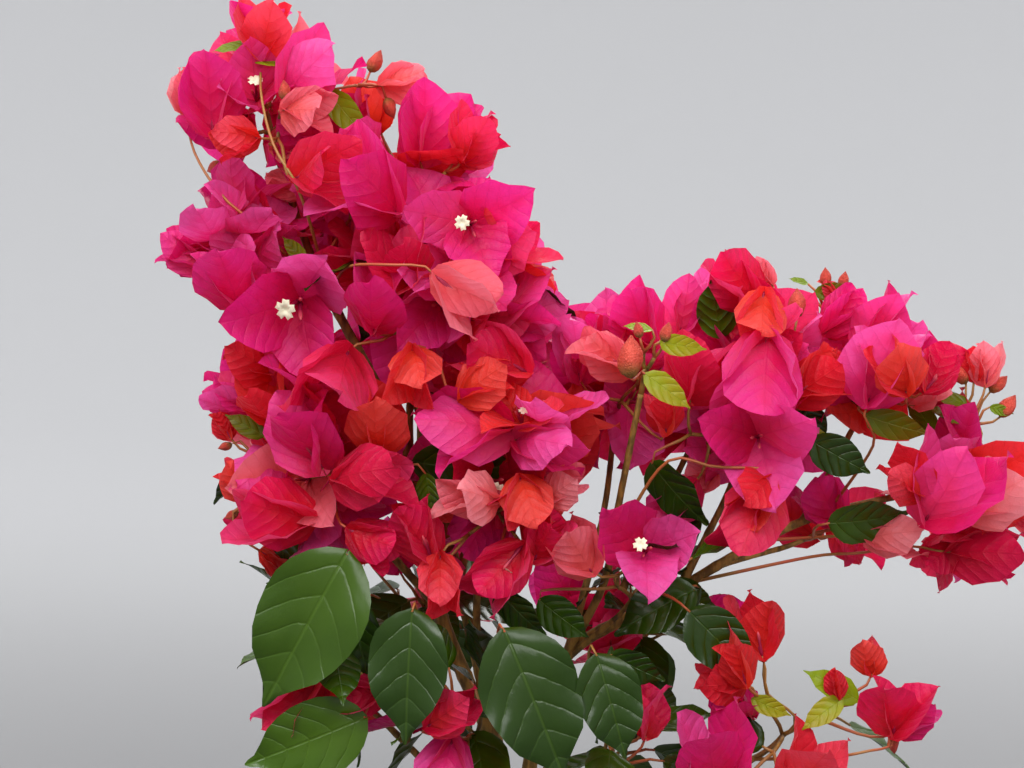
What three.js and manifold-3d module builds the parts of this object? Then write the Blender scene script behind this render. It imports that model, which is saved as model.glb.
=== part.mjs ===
// Bougainvillea bush rooted in the ground: one short trunk, tapering boughs, and sprays of twigs
// that carry papery bracts in threes, leaves and buds.
// Millimetres, +Z up, +X to the right of the viewer and +Y away from the viewer.
// The origin is the centre of the flat cut under the trunk, at ground level.
import * as THREE from "three";
import { mergeVertices } from "three/addons/utils/BufferGeometryUtils.js";
import Module from "manifold-3d";

const wasm = await Module();
wasm.setup();

// Sizes of the trunk and of the limbs
const CLEAR = 0.3; // gap between solids that meet
const TRUNK = {
  height: 84, radii: [8.5, 6.8], lean: [2, -2], flare: 6, flareHeight: 9, sides: 12, rings: 7,
};
const BOUGH_SIDES = 6;
const BOUGH_STEP = 32; // length of one straight stretch of a bough
const CURVE_STEPS = 12; // stretches between two points that a curve passes through
const BOUGH_END = 0.6; // how far short of the middle of its spray a bough ends, of the spray's reach
const SAMPLE = 2; // spacing of the points that stand for a limb where room is looked for

// Sizes of what a twig carries: length, width, thickness at the midrib, rise of the edges
const BRACT = { length: 52, width: 40, thickness: 1.2, cup: 2 };
const LEAF = { length: 72, width: 44, thickness: 1.4, cup: 5 };
const YOUNG_LEAF = { length: 34, width: 17, thickness: 1, cup: 3 };
const BUD = { length: 22, width: 13, thickness: 11, cup: 0 };
const WIDEST = 0.4; // where a blade is widest, of its length
const OPENING = [0.7, 1.08]; // radians from the axis of a group of three to each of its bracts
const ROOM = 0.6; // least height between two blades
const SNAP = 0.01; // edges shorter than this are closed up where solids are joined
const SAME_PLACE = 1e-3; // corners closer together than this count as one

const SEED = 17; // another number gives another bush of the same kind

// The twigs of a spray
const TWIG = { root: 1.7, fork: 1.3, end: 1 }; // radii of the stem, of a forked twig and under a head
const TWIG_STEP = 24; // a longer twig gets a bend
const FORK_SHARE = 0.4; // how far towards the middle of its heads a twig forks
const FORK_ONWARD = 0.1; // how far further on the way that it set out, of the same distance
const FORK_SPREAD = 0.8; // how steeply the branches of a fork part
const ROLLS = 12; // turns of a fork that are tried
const SHORTEST = 6; // a head nearer to its fork than this is left out
const TWIG_SHARES = [0.3, 0.4, 0.5, 0.6, 0.7, 0.8, 0.9, 1]; // where a twig is tested for room
const KNOTS_TRIED = 8; // places that a side shoot is tried from
const KNOT_SHARES = [0.35, 0.65]; // where a side shoot may leave a twig

// How heads are set in the space of a spray
const TRIES = 500; // places looked at for each head before it is left out
const SMALLEST = 0.62; // size of the last one tried, of full size
const SMALL_KINDS = ["young", "bud"];
const DEPTHS = [0.08, 0.58]; // from the middle of the space, of its reach, for bracts and leaves
const OUTER_DEPTHS = [0.45, 0.85]; // and for the small kinds, which stand out at the tips
const AWAY_FROM_ROOT = 0.3; // how much a head turns away from the root of the spray
const SWAY = 0.3; // how much its direction varies
const RISE = 0.15; // how much it is turned upwards
const DROOP = 0.5; // and a leaf downwards

const LOOKS = {
  bark: { color: 0x7a5a34, roughness: 0.85, metalness: 0 },
  bracts: { color: 0xd0144f, roughness: 0.6, metalness: 0 },
  leaves: { color: 0x2f6a1c, roughness: 0.45, metalness: 0 },
};

// Each row is one bough and the spray at its tip. on and at: the limb that it leaves, and how far
// along that one. via: points that it passes through. radii: at its root and tip. centre and reach:
// middle and half-sizes of the space that the spray keeps to. groups, leaves, young: what it carries.
const GROWTH = {
  top_left: {
    on: "trunk", at: 1, radii: [4.8, 1.8],
    via: [[-11, -3, 142], [-40, -6, 214], [-60, -6, 304], [-104, -2, 392]],
    centre: [-136, -5, 484], reach: [52, 44, 58], groups: 10, leaves: 0, young: 3,
  },
  shoulder_left: {
    on: "top_left", at: 0.8, via: [], radii: [2.1, 1.5],
    centre: [-148, -14, 404], reach: [50, 50, 52], groups: 10, leaves: 0, young: 1,
  },
  crest: {
    on: "top_left", at: 0.46, via: [[-50, 4, 330], [-50, 4, 390]], radii: [3, 1.7],
    centre: [-62, -8, 446], reach: [74, 52, 56], groups: 15, leaves: 0, young: 2,
  },
  heart: {
    on: "top_left", at: 0.55, via: [[-54, -20, 330]], radii: [2.2, 1.6],
    centre: [-38, -34, 384], reach: [80, 54, 56], groups: 16, leaves: 2, young: 0,
  },
  flank_left: {
    on: "top_left", at: 0.36, via: [], radii: [2.3, 1.6],
    centre: [-112, -34, 300], reach: [64, 54, 66], groups: 14, leaves: 2, young: 1,
  },
  centre: {
    on: "top_left", at: 0.2, via: [[-20, -16, 220]], radii: [2.4, 1.6],
    centre: [-8, -42, 296], reach: [66, 54, 62], groups: 15, leaves: 2, young: 0,
  },
  right_inner: {
    on: "right_tip", at: 0.36, via: [[46, 2, 260]], radii: [2.2, 1.5],
    centre: [56, 2, 332], reach: [48, 56, 48], groups: 9, leaves: 0, young: 0,
  },
  upright: {
    on: "right_tip", at: 0.32, via: [[45, -26, 229], [53, -46, 277]], radii: [2.4, 1.5],
    centre: [66, -70, 350], reach: [32, 28, 40], groups: 2, leaves: 1, young: 3,
  },
  right_heart: {
    on: "right_tip", at: 0.58, via: [[112, -6, 276]], radii: [2.3, 1.5],
    centre: [122, -14, 334], reach: [58, 58, 68], groups: 15, leaves: 1, young: 1,
  },
  right_shoulder: {
    on: "right_tip", at: 0.82, via: [], radii: [2, 1.5],
    centre: [194, -4, 340], reach: [56, 50, 46], groups: 10, leaves: 0, young: 2,
  },
  right_tip: {
    on: "trunk", at: 1, via: [[20, -3, 180], [77, -8, 220], [146, -6, 259]], radii: [4.4, 1.7],
    centre: [236, -8, 284], reach: [50, 48, 60], groups: 10, leaves: 0, young: 3,
  },
  hanging: {
    on: "right_tip", at: 0.66, via: [], radii: [1.8, 1.4],
    centre: [166, 6, 252], reach: [46, 46, 34], groups: 5, leaves: 1, young: 0,
  },
  right_low: {
    on: "right_tip", at: 0.34, via: [], radii: [2, 1.5],
    centre: [70, -40, 230], reach: [56, 46, 50], groups: 4, leaves: 6, young: 0,
  },
  low_right: {
    on: "trunk", at: 0.8, via: [[40, -8, 88]], radii: [2.8, 1.6],
    centre: [158, -32, 162], reach: [70, 46, 54], groups: 9, leaves: 2, young: 4,
  },
  skirt_left: {
    on: "trunk", at: 0.9, via: [[-34, -14, 122]], radii: [2.6, 1.6],
    centre: [-100, -42, 196], reach: [64, 50, 60], groups: 3, leaves: 8, young: 0,
  },
  skirt_centre: {
    on: "trunk", at: 0.97, via: [], radii: [2.3, 1.6],
    centre: [-20, -50, 166], reach: [60, 50, 60], groups: 3, leaves: 8, young: 0,
  },
  skirt_right: {
    on: "trunk", at: 0.88, via: [], radii: [2.3, 1.6],
    centre: [56, -34, 146], reach: [58, 50, 58], groups: 2, leaves: 7, young: 0,
  },
  back_crest: {
    on: "trunk", at: 1, via: [[-8, 22, 130], [-30, 42, 220], [-54, 50, 320]], radii: [4.2, 1.8],
    centre: [-84, 54, 432], reach: [66, 50, 62], groups: 13, leaves: 1, young: 1,
  },
  back_left: {
    on: "back_crest", at: 0.56, via: [], radii: [2.2, 1.5],
    centre: [-116, 58, 320], reach: [62, 50, 60], groups: 12, leaves: 3, young: 0,
  },
  back_centre: {
    on: "back_crest", at: 0.46, via: [], radii: [2.3, 1.6],
    centre: [-8, 62, 354], reach: [66, 50, 66], groups: 14, leaves: 3, young: 0,
  },
  back_right: {
    on: "trunk", at: 1, via: [[24, 20, 140], [60, 44, 220]], radii: [3.8, 1.7],
    centre: [112, 58, 326], reach: [68, 50, 62], groups: 13, leaves: 3, young: 0,
  },
  back_low_left: {
    on: "back_crest", at: 0.2, via: [], radii: [2.3, 1.6],
    centre: [-52, 56, 214], reach: [76, 54, 66], groups: 6, leaves: 9, young: 0,
  },
  back_low_right: {
    on: "back_right", at: 0.3, via: [], radii: [2.3, 1.6],
    centre: [68, 52, 200], reach: [72, 52, 66], groups: 6, leaves: 9, young: 0,
  },
};

const vector = (xyz) => new THREE.Vector3(...xyz);
const mix = THREE.MathUtils.lerp;
const UP = new THREE.Vector3(0, 0, 1);
const ACROSS = new THREE.Vector3(1, 0, 0);
const ASLANT = new THREE.Vector3(0.36, 0.48, 0.8); // no twig leaves a bough in this direction
const THIRD = (2 * Math.PI) / 3; // of a full turn

// A repeatable stream of numbers from 0 to 1 for each name.
function seeded(name) {
  let state = SEED;
  for (const letter of name) state = (Math.imul(state, 31) + letter.charCodeAt(0)) | 0;
  return () => {
    state = (state + 0x6d2b79f5) | 0;
    let t = Math.imul(state ^ (state >>> 15), 1 | state);
    t = (t + Math.imul(t ^ (t >>> 7), 61 | t)) ^ t;
    return ((t ^ (t >>> 14)) >>> 0) / 4294967296;
  };
}

// Curves are rows of points. This one passes through the points given, rounded between them.
function curveThrough(points) {
  const line = [];
  for (let i = 0; i + 1 < points.length; i++) {
    const nearby = [-1, 0, 1, 2].map((k) => THREE.MathUtils.clamp(i + k, 0, points.length - 1));
    for (let step = 0; step < CURVE_STEPS; step++) {
      const t = step / CURVE_STEPS;
      const bend = [
        -0.5 * t + t * t - 0.5 * t ** 3,
        1 - 2.5 * t * t + 1.5 * t ** 3,
        0.5 * t + 2 * t * t - 1.5 * t ** 3,
        -0.5 * t * t + 0.5 * t ** 3,
      ];
      const point = new THREE.Vector3();
      nearby.forEach((index, k) => point.addScaledVector(points[index], bend[k]));
      line.push(point);
    }
  }
  line.push(points[points.length - 1].clone());
  return line;
}

// This one leaves a point in one direction and arrives at another point in another direction.
function curveBetween(from, leaving, to, arriving) {
  const reach = 0.35 * from.distanceTo(to);
  const after = from.clone().addScaledVector(leaving, reach);
  const before = to.clone().addScaledVector(arriving, -reach);
  return Array.from({ length: CURVE_STEPS + 1 }, (_, i) => {
    const t = i / CURVE_STEPS;
    return from
      .clone()
      .multiplyScalar((1 - t) ** 3)
      .addScaledVector(after, 3 * t * (1 - t) ** 2)
      .addScaledVector(before, 3 * t * t * (1 - t))
      .addScaledVector(to, t ** 3);
  });
}

function lengthOf(line) {
  return line.reduce((sum, point, i) => (i === 0 ? 0 : sum + point.distanceTo(line[i - 1])), 0);
}

// The point that lies a share of the length along a curve.
function pointOn(line, share) {
  let left = share * lengthOf(line);
  for (let i = 1; i < line.length; i++) {
    const stretch = line[i].distanceTo(line[i - 1]);
    if (left <= stretch || i === line.length - 1) {
      return line[i - 1].clone().lerp(line[i], Math.min(left / stretch, 1));
    }
    left -= stretch;
  }
  return line[0].clone();
}

function directionOn(line, share) {
  const before = pointOn(line, Math.max(share - 0.02, 0));
  return pointOn(line, Math.min(share + 0.02, 1)).sub(before).normalize();
}

// The solid inside a closed mesh given by corner points and the triangles between them.
function solidFrom(corners, triangles) {
  const mesh = new wasm.Mesh({
    numProp: 3,
    vertProperties: new Float32Array(corners.flatMap((p) => [p.x, p.y, p.z])),
    triVerts: new Uint32Array(triangles.flat()),
  });
  return new wasm.Manifold(mesh);
}

// Triangles of the wall between rings of points, and of the fan that closes the first ring.
function wallOf(count, sides) {
  const triangles = [];
  for (let i = 0; i + 1 < count; i++) {
    for (let j = 0; j < sides; j++) {
      const a = i * sides + j;
      const b = i * sides + ((j + 1) % sides);
      triangles.push([a, b, b + sides], [a, b + sides, a + sides]);
    }
  }
  for (let j = 1; j + 1 < sides; j++) triangles.push([0, j + 1, j]);
  return triangles;
}

function closedTube(rings) {
  const sides = rings[0].length;
  const last = (rings.length - 1) * sides;
  const lid = Array.from({ length: sides - 2 }, (_, j) => [last, last + j + 1, last + j + 2]);
  return solidFrom(rings.flat(), [...wallOf(rings.length, sides), ...lid]);
}

// Rings of a tapering tube along a curve. Its last ring has its first corner towards facing, and the
// frame is carried back from there without a twist. fat widens it all round, its ends included.
function tubeRings(line, radii, sides, steps, facing, fat = 0) {
  const rings = [];
  let normal = facing.clone();
  for (let i = steps; i >= 0; i--) {
    const share = i / steps;
    const along = directionOn(line, share);
    normal = normal.addScaledVector(along, -normal.dot(along)).normalize();
    const across = new THREE.Vector3().crossVectors(along, normal);
    const radius = mix(radii[0], radii[1], share) + fat;
    const middle = pointOn(line, share);
    if (i === 0) middle.addScaledVector(along, -fat);
    if (i === steps) middle.addScaledVector(along, fat);
    rings.unshift(
      Array.from({ length: sides }, (_, j) => {
        const turn = (2 * Math.PI * j) / sides;
        return middle
          .clone()
          .addScaledVector(normal, radius * Math.cos(turn))
          .addScaledVector(across, radius * Math.sin(turn));
      }),
    );
  }
  return rings;
}

// The largest of the closed bodies that a boolean left: scraps go, and sealed hollows are filled.
function mainBody(solid) {
  return solid.decompose().reduce((best, body) => (body.volume() > best.volume() ? body : best));
}

// The trunk stands on a flat cut, with level rings, and is widest where its roots begin.
const trunkLine = curveThrough([
  new THREE.Vector3(0, 0, 0),
  new THREE.Vector3(-1.5, 0.5, TRUNK.height * 0.5),
  new THREE.Vector3(TRUNK.lean[0], TRUNK.lean[1], TRUNK.height),
]);

function trunkSolid(fat) {
  const rings = [];
  for (let i = 0; i <= TRUNK.rings; i++) {
    const share = (i / TRUNK.rings) ** 1.5;
    const middle = pointOn(trunkLine, share);
    const flare = TRUNK.flare * Math.exp(-middle.z / TRUNK.flareHeight);
    rings.push(
      Array.from({ length: TRUNK.sides }, (_, j) => {
        const turn = (2 * Math.PI * j) / TRUNK.sides;
        const radius = mix(...TRUNK.radii, share) + flare * (1 + 0.35 * Math.cos(4 * turn + 1)) + fat;
        return new THREE.Vector3(
          middle.x + radius * Math.cos(turn),
          middle.y + radius * Math.sin(turn),
          middle.z + (i === TRUNK.rings ? fat : 0),
        );
      }),
    );
  }
  return closedTube(rings);
}

const limbs = { trunk: { line: trunkLine, radii: TRUNK.radii, solid: trunkSolid(0), fat: trunkSolid(CLEAR) } };

// Each point of space belongs to the spray whose sphere it lies deepest in, so the borders between
// sprays are flat, and no two sprays meet.
const spaces = Object.entries(GROWTH).map(([name, { centre, reach }]) => ({
  name,
  middle: vector(centre),
  reach: vector(reach),
  square: ((reach[0] + reach[1] + reach[2]) / 3) ** 2,
}));

function keepsToSpace(space, point, margin) {
  const off = point.clone().sub(space.middle).divide(space.reach).length();
  if (off > 1) return false;
  const depth = space.square - point.distanceToSquared(space.middle);
  return spaces.every((other) => {
    const border = 2 * space.middle.distanceTo(other.middle) * (CLEAR / 2 + margin);
    return other === space || depth - other.square + point.distanceToSquared(other.middle) > border;
  });
}

// A bough leaves the middle of the limb that carries it, and the wood of older limbs is cut away
// from it. It ends inside the space of its spray, short of the middle.
function growBough(name, { on, at, via, radii }) {
  const root = pointOn(limbs[on].line, Math.min(at, 0.98));
  const points = [root, ...via.map(vector)];
  const space = spaces.find((other) => other.name === name);
  const inward = space.middle.clone().sub(points[points.length - 1]).normalize();
  let short = BOUGH_END / inward.clone().divide(space.reach).length();
  const tip = () => space.middle.clone().addScaledVector(inward, -short);
  while (!keepsToSpace(space, tip(), radii[0])) short -= 1;
  points.push(tip());
  const line = curveThrough(points);
  const steps = Math.max(2, Math.round(lengthOf(line) / BOUGH_STEP));
  const side = new THREE.Vector3().crossVectors(inward, UP).normalize();
  const older = wasm.Manifold.union(Object.values(limbs).map((limb) => limb.fat));
  limbs[name] = {
    line,
    radii,
    solid: mainBody(closedTube(tubeRings(line, radii, BOUGH_SIDES, steps, side)).subtract(older)),
    fat: closedTube(tubeRings(line, radii, BOUGH_SIDES, steps, side, CLEAR)),
  };
}

const waiting = Object.entries(GROWTH);
while (waiting.length > 0) {
  const next = waiting.findIndex(([, row]) => row.on in limbs);
  const [[name, row]] = waiting.splice(next, 1);
  growBough(name, row);
}

// Points along every limb, each with the limb's radius there.
const limbPoints = Object.values(limbs).flatMap(({ line, radii }) => {
  const count = Math.ceil(lengthOf(line) / SAMPLE);
  return Array.from({ length: count + 1 }, (_, i) => ({
    at: pointOn(line, i / count),
    radius: mix(...radii, i / count) + CLEAR,
  }));
});

// A blade lies along heading from its root, and its edges rise to the side that faces up.
function bladeAt(root, heading, up, size, scale) {
  const side = new THREE.Vector3().crossVectors(up, heading).normalize();
  return { root, heading, up: new THREE.Vector3().crossVectors(heading, side), side, size, scale };
}

function onBlade({ root, heading, up, side, scale }, along, across, above) {
  return root
    .clone()
    .addScaledVector(heading, along * scale)
    .addScaledVector(side, across * scale)
    .addScaledVector(up, above * scale);
}

function bladeCorners(blade) {
  const { length, width, thickness, cup } = blade.size;
  const widest = WIDEST * length;
  return {
    left: onBlade(blade, widest, -width / 2, cup),
    right: onBlade(blade, widest, width / 2, cup),
    over: onBlade(blade, widest, 0, thickness / 2),
    under: onBlade(blade, widest, 0, -thickness / 2),
    tip: onBlade(blade, length, 0, 0),
  };
}

// What a test for room needs of a blade: its edges, its two faces, and points along the edges.
function outlineOf(blade) {
  const { left, right, tip } = bladeCorners(blade);
  const near = onBlade(blade, 0.1 * blade.size.length, 0, 0);
  const edges = [[near, left], [left, tip], [near, right], [right, tip], [near, tip]];
  const points = edges.flatMap(([a, b]) => [0.25, 0.5, 0.75, 1].map((share) => a.clone().lerp(b, share)));
  return { blade, edges, faces: [[near, left, tip], [near, right, tip]], points };
}

// Whether a ball round a point lies in or near a blade.
function touches(blade, point, radius) {
  const { length, width, thickness, cup } = blade.size;
  const off = point.clone().sub(blade.root).divideScalar(blade.scale);
  const room = radius / blade.scale;
  const along = off.dot(blade.heading);
  if (along < -room || along > length + room) return false;
  const across = Math.abs(off.dot(blade.side));
  const share = Math.min(along / WIDEST, (length - along) / (1 - WIDEST)) / length;
  if (across > Math.max((share * width) / 2, 0) + room) return false;
  return Math.abs(off.dot(blade.up) - (2 * cup * across) / width) < room + thickness / 2;
}

function crosses([from, to], [a, b, c]) {
  const way = to.clone().sub(from);
  const ab = b.clone().sub(a);
  const ac = c.clone().sub(a);
  const normal = ab.clone().cross(ac);
  const slope = -way.dot(normal);
  if (Math.abs(slope) < 1e-9) return false;
  const off = from.clone().sub(a);
  const share = off.dot(normal) / slope;
  const turned = off.clone().cross(way);
  const u = ac.dot(turned) / slope;
  const v = -ab.dot(turned) / slope;
  return share >= 0 && share <= 1 && u >= 0 && v >= 0 && u + v <= 1;
}

function bladesMeet(a, b) {
  return (
    a.points.some((point) => touches(b.blade, point, ROOM)) ||
    b.points.some((point) => touches(a.blade, point, ROOM)) ||
    a.edges.some((edge) => b.faces.some((face) => crosses(edge, face))) ||
    b.edges.some((edge) => a.faces.some((face) => crosses(edge, face)))
  );
}

// The blades of one head: three bracts round their axis, a leaf, or a bud.
function bladesOf(kind, at, heading, up, opening, scale) {
  if (kind === "leaf") return [bladeAt(at, heading, up, LEAF, scale)];
  if (kind === "young") return [bladeAt(at, heading, up, YOUNG_LEAF, scale)];
  if (kind === "bud") return [bladeAt(at, heading, up, BUD, scale)];
  return [1, 3, 5].map((sixth) => {
    const out = up.clone().applyAxisAngle(heading, (sixth * Math.PI) / 3);
    const lie = heading.clone().multiplyScalar(Math.cos(opening)).addScaledVector(out, Math.sin(opening));
    const inner = heading.clone().multiplyScalar(Math.sin(opening)).addScaledVector(out, -Math.cos(opening));
    return bladeAt(at, lie, inner, BRACT, scale);
  });
}

// A head at a random place in the space of a spray, facing away from its middle and its root.
function headAt(kind, space, random, root, scale) {
  const [turn, height, deep, tilt, lean, roll, open] = Array.from({ length: 7 }, random);
  const level = 2 * height - 1;
  const flat = Math.sqrt(1 - level * level);
  const round = 2 * Math.PI * turn;
  const way = new THREE.Vector3(flat * Math.cos(round), flat * Math.sin(round), level);
  const depth = mix(...(SMALL_KINDS.includes(kind) ? OUTER_DEPTHS : DEPTHS), deep);
  const at = way.clone().multiply(space.reach).multiplyScalar(depth).add(space.middle);
  const heading = at.clone().sub(root).normalize().multiplyScalar(AWAY_FROM_ROOT).add(way);
  heading.x += SWAY * (2 * tilt - 1);
  heading.y += SWAY * (2 * lean - 1);
  heading.z += kind === "leaf" ? -DROOP : RISE;
  heading.normalize();
  const facing = kind === "leaf" || kind === "young" ? UP.clone().addScaledVector(way, 0.6) : UP.clone();
  const side = new THREE.Vector3().crossVectors(facing, heading).normalize();
  const up = new THREE.Vector3().crossVectors(heading, side);
  up.applyAxisAngle(heading, kind === "bracts" ? 2 * Math.PI * roll : roll - 0.5);
  return { kind, at, heading, up, blades: bladesOf(kind, at, heading, up, mix(...OPENING, open), scale) };
}

// Heads are set one by one wherever there is room in the space of the spray, clear of every limb.
function placeHeads(space, { groups, leaves, young }, random, root) {
  const kinds = [...Array(groups).fill("bracts")];
  kinds.splice(leaves > groups ? 0 : kinds.length, 0, ...Array(leaves).fill("leaf"));
  kinds.push(...Array(young).fill("young"), ...Array(young).fill("bud"));
  const heads = [];
  const taken = [];
  for (const kind of kinds) {
    for (let attempt = 0; attempt < TRIES; attempt++) {
      const head = headAt(kind, space, random, root, mix(1, SMALLEST, attempt / TRIES));
      if (!keepsToSpace(space, head.at, TWIG.root)) continue;
      const corners = head.blades.flatMap((blade) => Object.values(bladeCorners(blade)));
      if (!corners.every((corner) => keepsToSpace(space, corner, 0))) continue;
      const fouls = ({ at, radius }) => head.blades.some((blade) => touches(blade, at, radius));
      if (limbPoints.some(fouls)) continue;
      const outlines = head.blades.map(outlineOf);
      if (taken.some((other) => outlines.some((outline) => bladesMeet(outline, other)))) continue;
      heads.push(head);
      taken.push(...outlines);
      break;
    }
  }
  return heads;
}

// How a fork is rolled round its axis so that most of its three sides get heads, and get them near
// their middles. offsets: where the heads lie, seen along the axis.
function bestRoll(offsets) {
  let best;
  for (let step = 0; step < ROLLS; step++) {
    const roll = (step * THIRD) / ROLLS;
    const turns = offsets.map((off) => off.angle() - roll);
    const sides = turns.map((turn) => (Math.floor(turn / THIRD) + 3) % 3);
    const used = new Set(sides).size;
    let fit = 12 * used * offsets.length;
    turns.forEach((turn, i) => (fit += offsets[i].length() * Math.cos(turn - (sides[i] + 0.5) * THIRD)));
    if (!best || fit > best.fit) best = { roll, sides, used, fit };
  }
  return best;
}

// The twigs of a spray, as a tree: each twig ends in a head, or forks in up to three. A fork opens
// on three sides, and each head goes to the side that it lies on.
function treeOf(from, leaving, heads, radius) {
  if (heads.length === 1) {
    const [head] = heads;
    const line = curveBetween(from, leaving, head.at, head.heading);
    return { line, radii: [radius, TWIG.end], facing: head.up, head };
  }
  const middle = new THREE.Vector3();
  for (const head of heads) middle.addScaledVector(head.at, 1 / heads.length);
  const fork = from.clone().lerp(middle, FORK_SHARE);
  fork.addScaledVector(leaving, FORK_ONWARD * from.distanceTo(middle));
  const axis = middle.clone().sub(fork).normalize();
  const level = new THREE.Vector3().crossVectors(axis, Math.abs(axis.z) > 0.9 ? ACROSS : UP).normalize();
  const other = new THREE.Vector3().crossVectors(axis, level);
  const offsets = heads.map(({ at }) => {
    const off = at.clone().sub(fork);
    return new THREE.Vector2(off.dot(level), off.dot(other));
  });
  const { roll, sides, used } = bestRoll(offsets);
  if (used === 1) return treeOf(from, leaving, heads.slice(0, 1), radius);
  const facing = level.clone().applyAxisAngle(axis, roll);
  const branches = [0, 1, 2].map((side) => {
    const own = heads.filter((_, i) => sides[i] === side);
    if (own.length === 0) return null;
    const out = facing.clone().applyAxisAngle(axis, (side + 0.5) * THIRD);
    return treeOf(fork, axis.clone().addScaledVector(out, FORK_SPREAD).normalize(), own, TWIG.fork);
  });
  return { line: curveBetween(from, leaving, fork, axis), radii: [radius, TWIG.fork], facing, branches };
}

function twigsOf(tree) {
  return [tree, ...(tree.branches ?? []).filter(Boolean).flatMap(twigsOf)];
}

function nearLimb(point) {
  return limbPoints.some(({ at, radius }) => at.distanceTo(point) < radius + TWIG.root + CLEAR);
}

const meetsAny = (blades, points) => points.some((p) => blades.some((blade) => touches(blade, p, TWIG.root)));

// How often the twigs of each head run into something: a limb, the border, a blade or another twig.
function trouble(space, tree) {
  const twigs = twigsOf(tree);
  const counts = new Map();
  const blame = (twig) => {
    const [{ head }] = twigsOf(twig).filter((part) => part.head);
    counts.set(head, (counts.get(head) ?? 0) + 1);
  };
  const carried = twigs.filter(({ head }) => head);
  const points = twigs.map(({ line }) => TWIG_SHARES.map((share) => pointOn(line, share)));
  twigs.forEach((twig, i) => {
    const past = points[i].slice(twig === tree ? 2 : 0);
    const out = points[i].some((p) => !keepsToSpace(space, p, TWIG.root));
    if (out || lengthOf(twig.line) < SHORTEST || past.some(nearLimb)) blame(twig);
    for (const other of carried) {
      if (other !== twig && meetsAny(other.head.blades, points[i])) {
        blame(twig);
        blame(other);
      }
    }
    for (let j = 0; j < i; j++) {
      const close = points[i].some((p) => points[j].some((q) => p.distanceTo(q) < 2 * TWIG.root));
      if (close && !(twigs[j].branches ?? []).includes(twig)) {
        blame(twig);
        blame(twigs[j]);
      }
    }
  });
  return counts;
}

const bendsOf = (line) => (lengthOf(line) > TWIG_STEP ? 2 : 1);

// A tube of three sides from an open ring of corners along a twig. It gives its last ring, which
// has its first corner towards facing.
function addTube({ corners, triangles }, ring, { line, radii, facing }) {
  const steps = bendsOf(line);
  const shares = Array.from({ length: steps }, (_, i) => (i + 1) / steps);
  const perpendicular = (v, along) => v.clone().addScaledVector(along, -v.dot(along)).normalize();
  let normal = perpendicular(corners[ring[0]].clone().sub(line[0]), directionOn(line, 0));
  const frames = shares.map((share) => {
    const along = directionOn(line, share);
    normal = perpendicular(normal, along);
    return { along, normal, middle: pointOn(line, share), radius: mix(...radii, share) };
  });
  const { along } = frames[steps - 1];
  const wanted = perpendicular(facing, along);
  const turn = Math.atan2(new THREE.Vector3().crossVectors(normal, wanted).dot(along), normal.dot(wanted));
  const shift = Math.round(turn / THIRD);
  let last = ring;
  frames.forEach((frame, i) => {
    const twist = ((turn - shift * THIRD) * (i + 1)) / steps;
    const next = [0, 1, 2].map((j) => {
      const out = frame.normal.clone().applyAxisAngle(frame.along, twist + j * THIRD);
      return corners.push(frame.middle.clone().addScaledVector(out, frame.radius)) - 1;
    });
    for (let j = 0; j < 3; j++) {
      const [a, b, c, d] = [last[j], last[(j + 1) % 3], next[(j + 1) % 3], next[j]];
      triangles.push([a, b, c], [a, c, d]);
    }
    last = next;
  });
  return [0, 1, 2].map((j) => last[(j + shift + 3) % 3]);
}

function addBlade({ corners, triangles }, [a, b, top], blade) {
  const { left, right, over, under, tip } = bladeCorners(blade);
  const l = corners.push(left, right, over, under, tip) - 5;
  const [r, o, u, t] = [l + 1, l + 2, l + 3, l + 4];
  triangles.push([a, b, u], [u, b, r], [a, u, l], [b, top, r], [top, a, l], [r, top, o]);
  triangles.push([top, l, o], [u, r, t], [l, u, t], [r, o, t], [o, l, t]);
}

function addTree(mesh, ring, tree) {
  const [a, b, c] = addTube(mesh, ring, tree);
  if (tree.head && tree.head.blades.length === 1) {
    addBlade(mesh, [b, c, a], tree.head.blades[0]);
    return;
  }
  const peak = pointOn(tree.line, 1).addScaledVector(directionOn(tree.line, 1), 0.7 * tree.radii[1]);
  const top = mesh.corners.push(peak) - 1;
  [[a, b, top], [b, c, top], [c, a, top]].forEach((side, i) => {
    if (tree.head) {
      addBlade(mesh, side, tree.head.blades[i]);
    } else if (tree.branches[i]) {
      addTree(mesh, side, tree.branches[i]);
    } else {
      mesh.triangles.push(side);
    }
  });
}

// Points inside the straight stretches of a twig, where a side shoot may leave it.
function knotsOf({ line }) {
  const bends = Array.from({ length: bendsOf(line) + 1 }, (_, i) => pointOn(line, i / bendsOf(line)));
  return KNOT_SHARES.map((share) => pointOn(bends, share));
}

// The solid of a tree of twigs, which starts as a closed stub of three corners round its root.
function twigSolid(root, leaving, radius, tree) {
  const across = new THREE.Vector3().crossVectors(leaving, ASLANT).normalize();
  const corners = [0, 1, 2].map((j) => {
    const out = across.clone().applyAxisAngle(leaving, j * THIRD);
    return root.clone().addScaledVector(out, radius);
  });
  const mesh = { corners, triangles: [[0, 2, 1]] };
  addTree(mesh, [0, 1, 2], tree);
  return solidFrom(mesh.corners, mesh.triangles);
}

// Whether each edge of a solid joins just two faces, also where corners lie in one place.
function isSound(solid) {
  const { vertProperties, triVerts } = solid.getMesh();
  const places = new Map();
  const placeOf = (corner) => {
    const place = [0, 1, 2].map((i) => Math.round(vertProperties[3 * corner + i] / SAME_PLACE)).join(" ");
    if (!places.has(place)) places.set(place, places.size);
    return places.get(place);
  };
  const corners = [...triVerts].map(placeOf);
  const edges = new Set();
  for (let i = 0; i < corners.length; i += 3) {
    for (const [j, k] of [[0, 1], [1, 2], [2, 0]]) edges.add(corners[i + j] * places.size + corners[i + k]);
  }
  return edges.size === corners.length;
}

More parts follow.
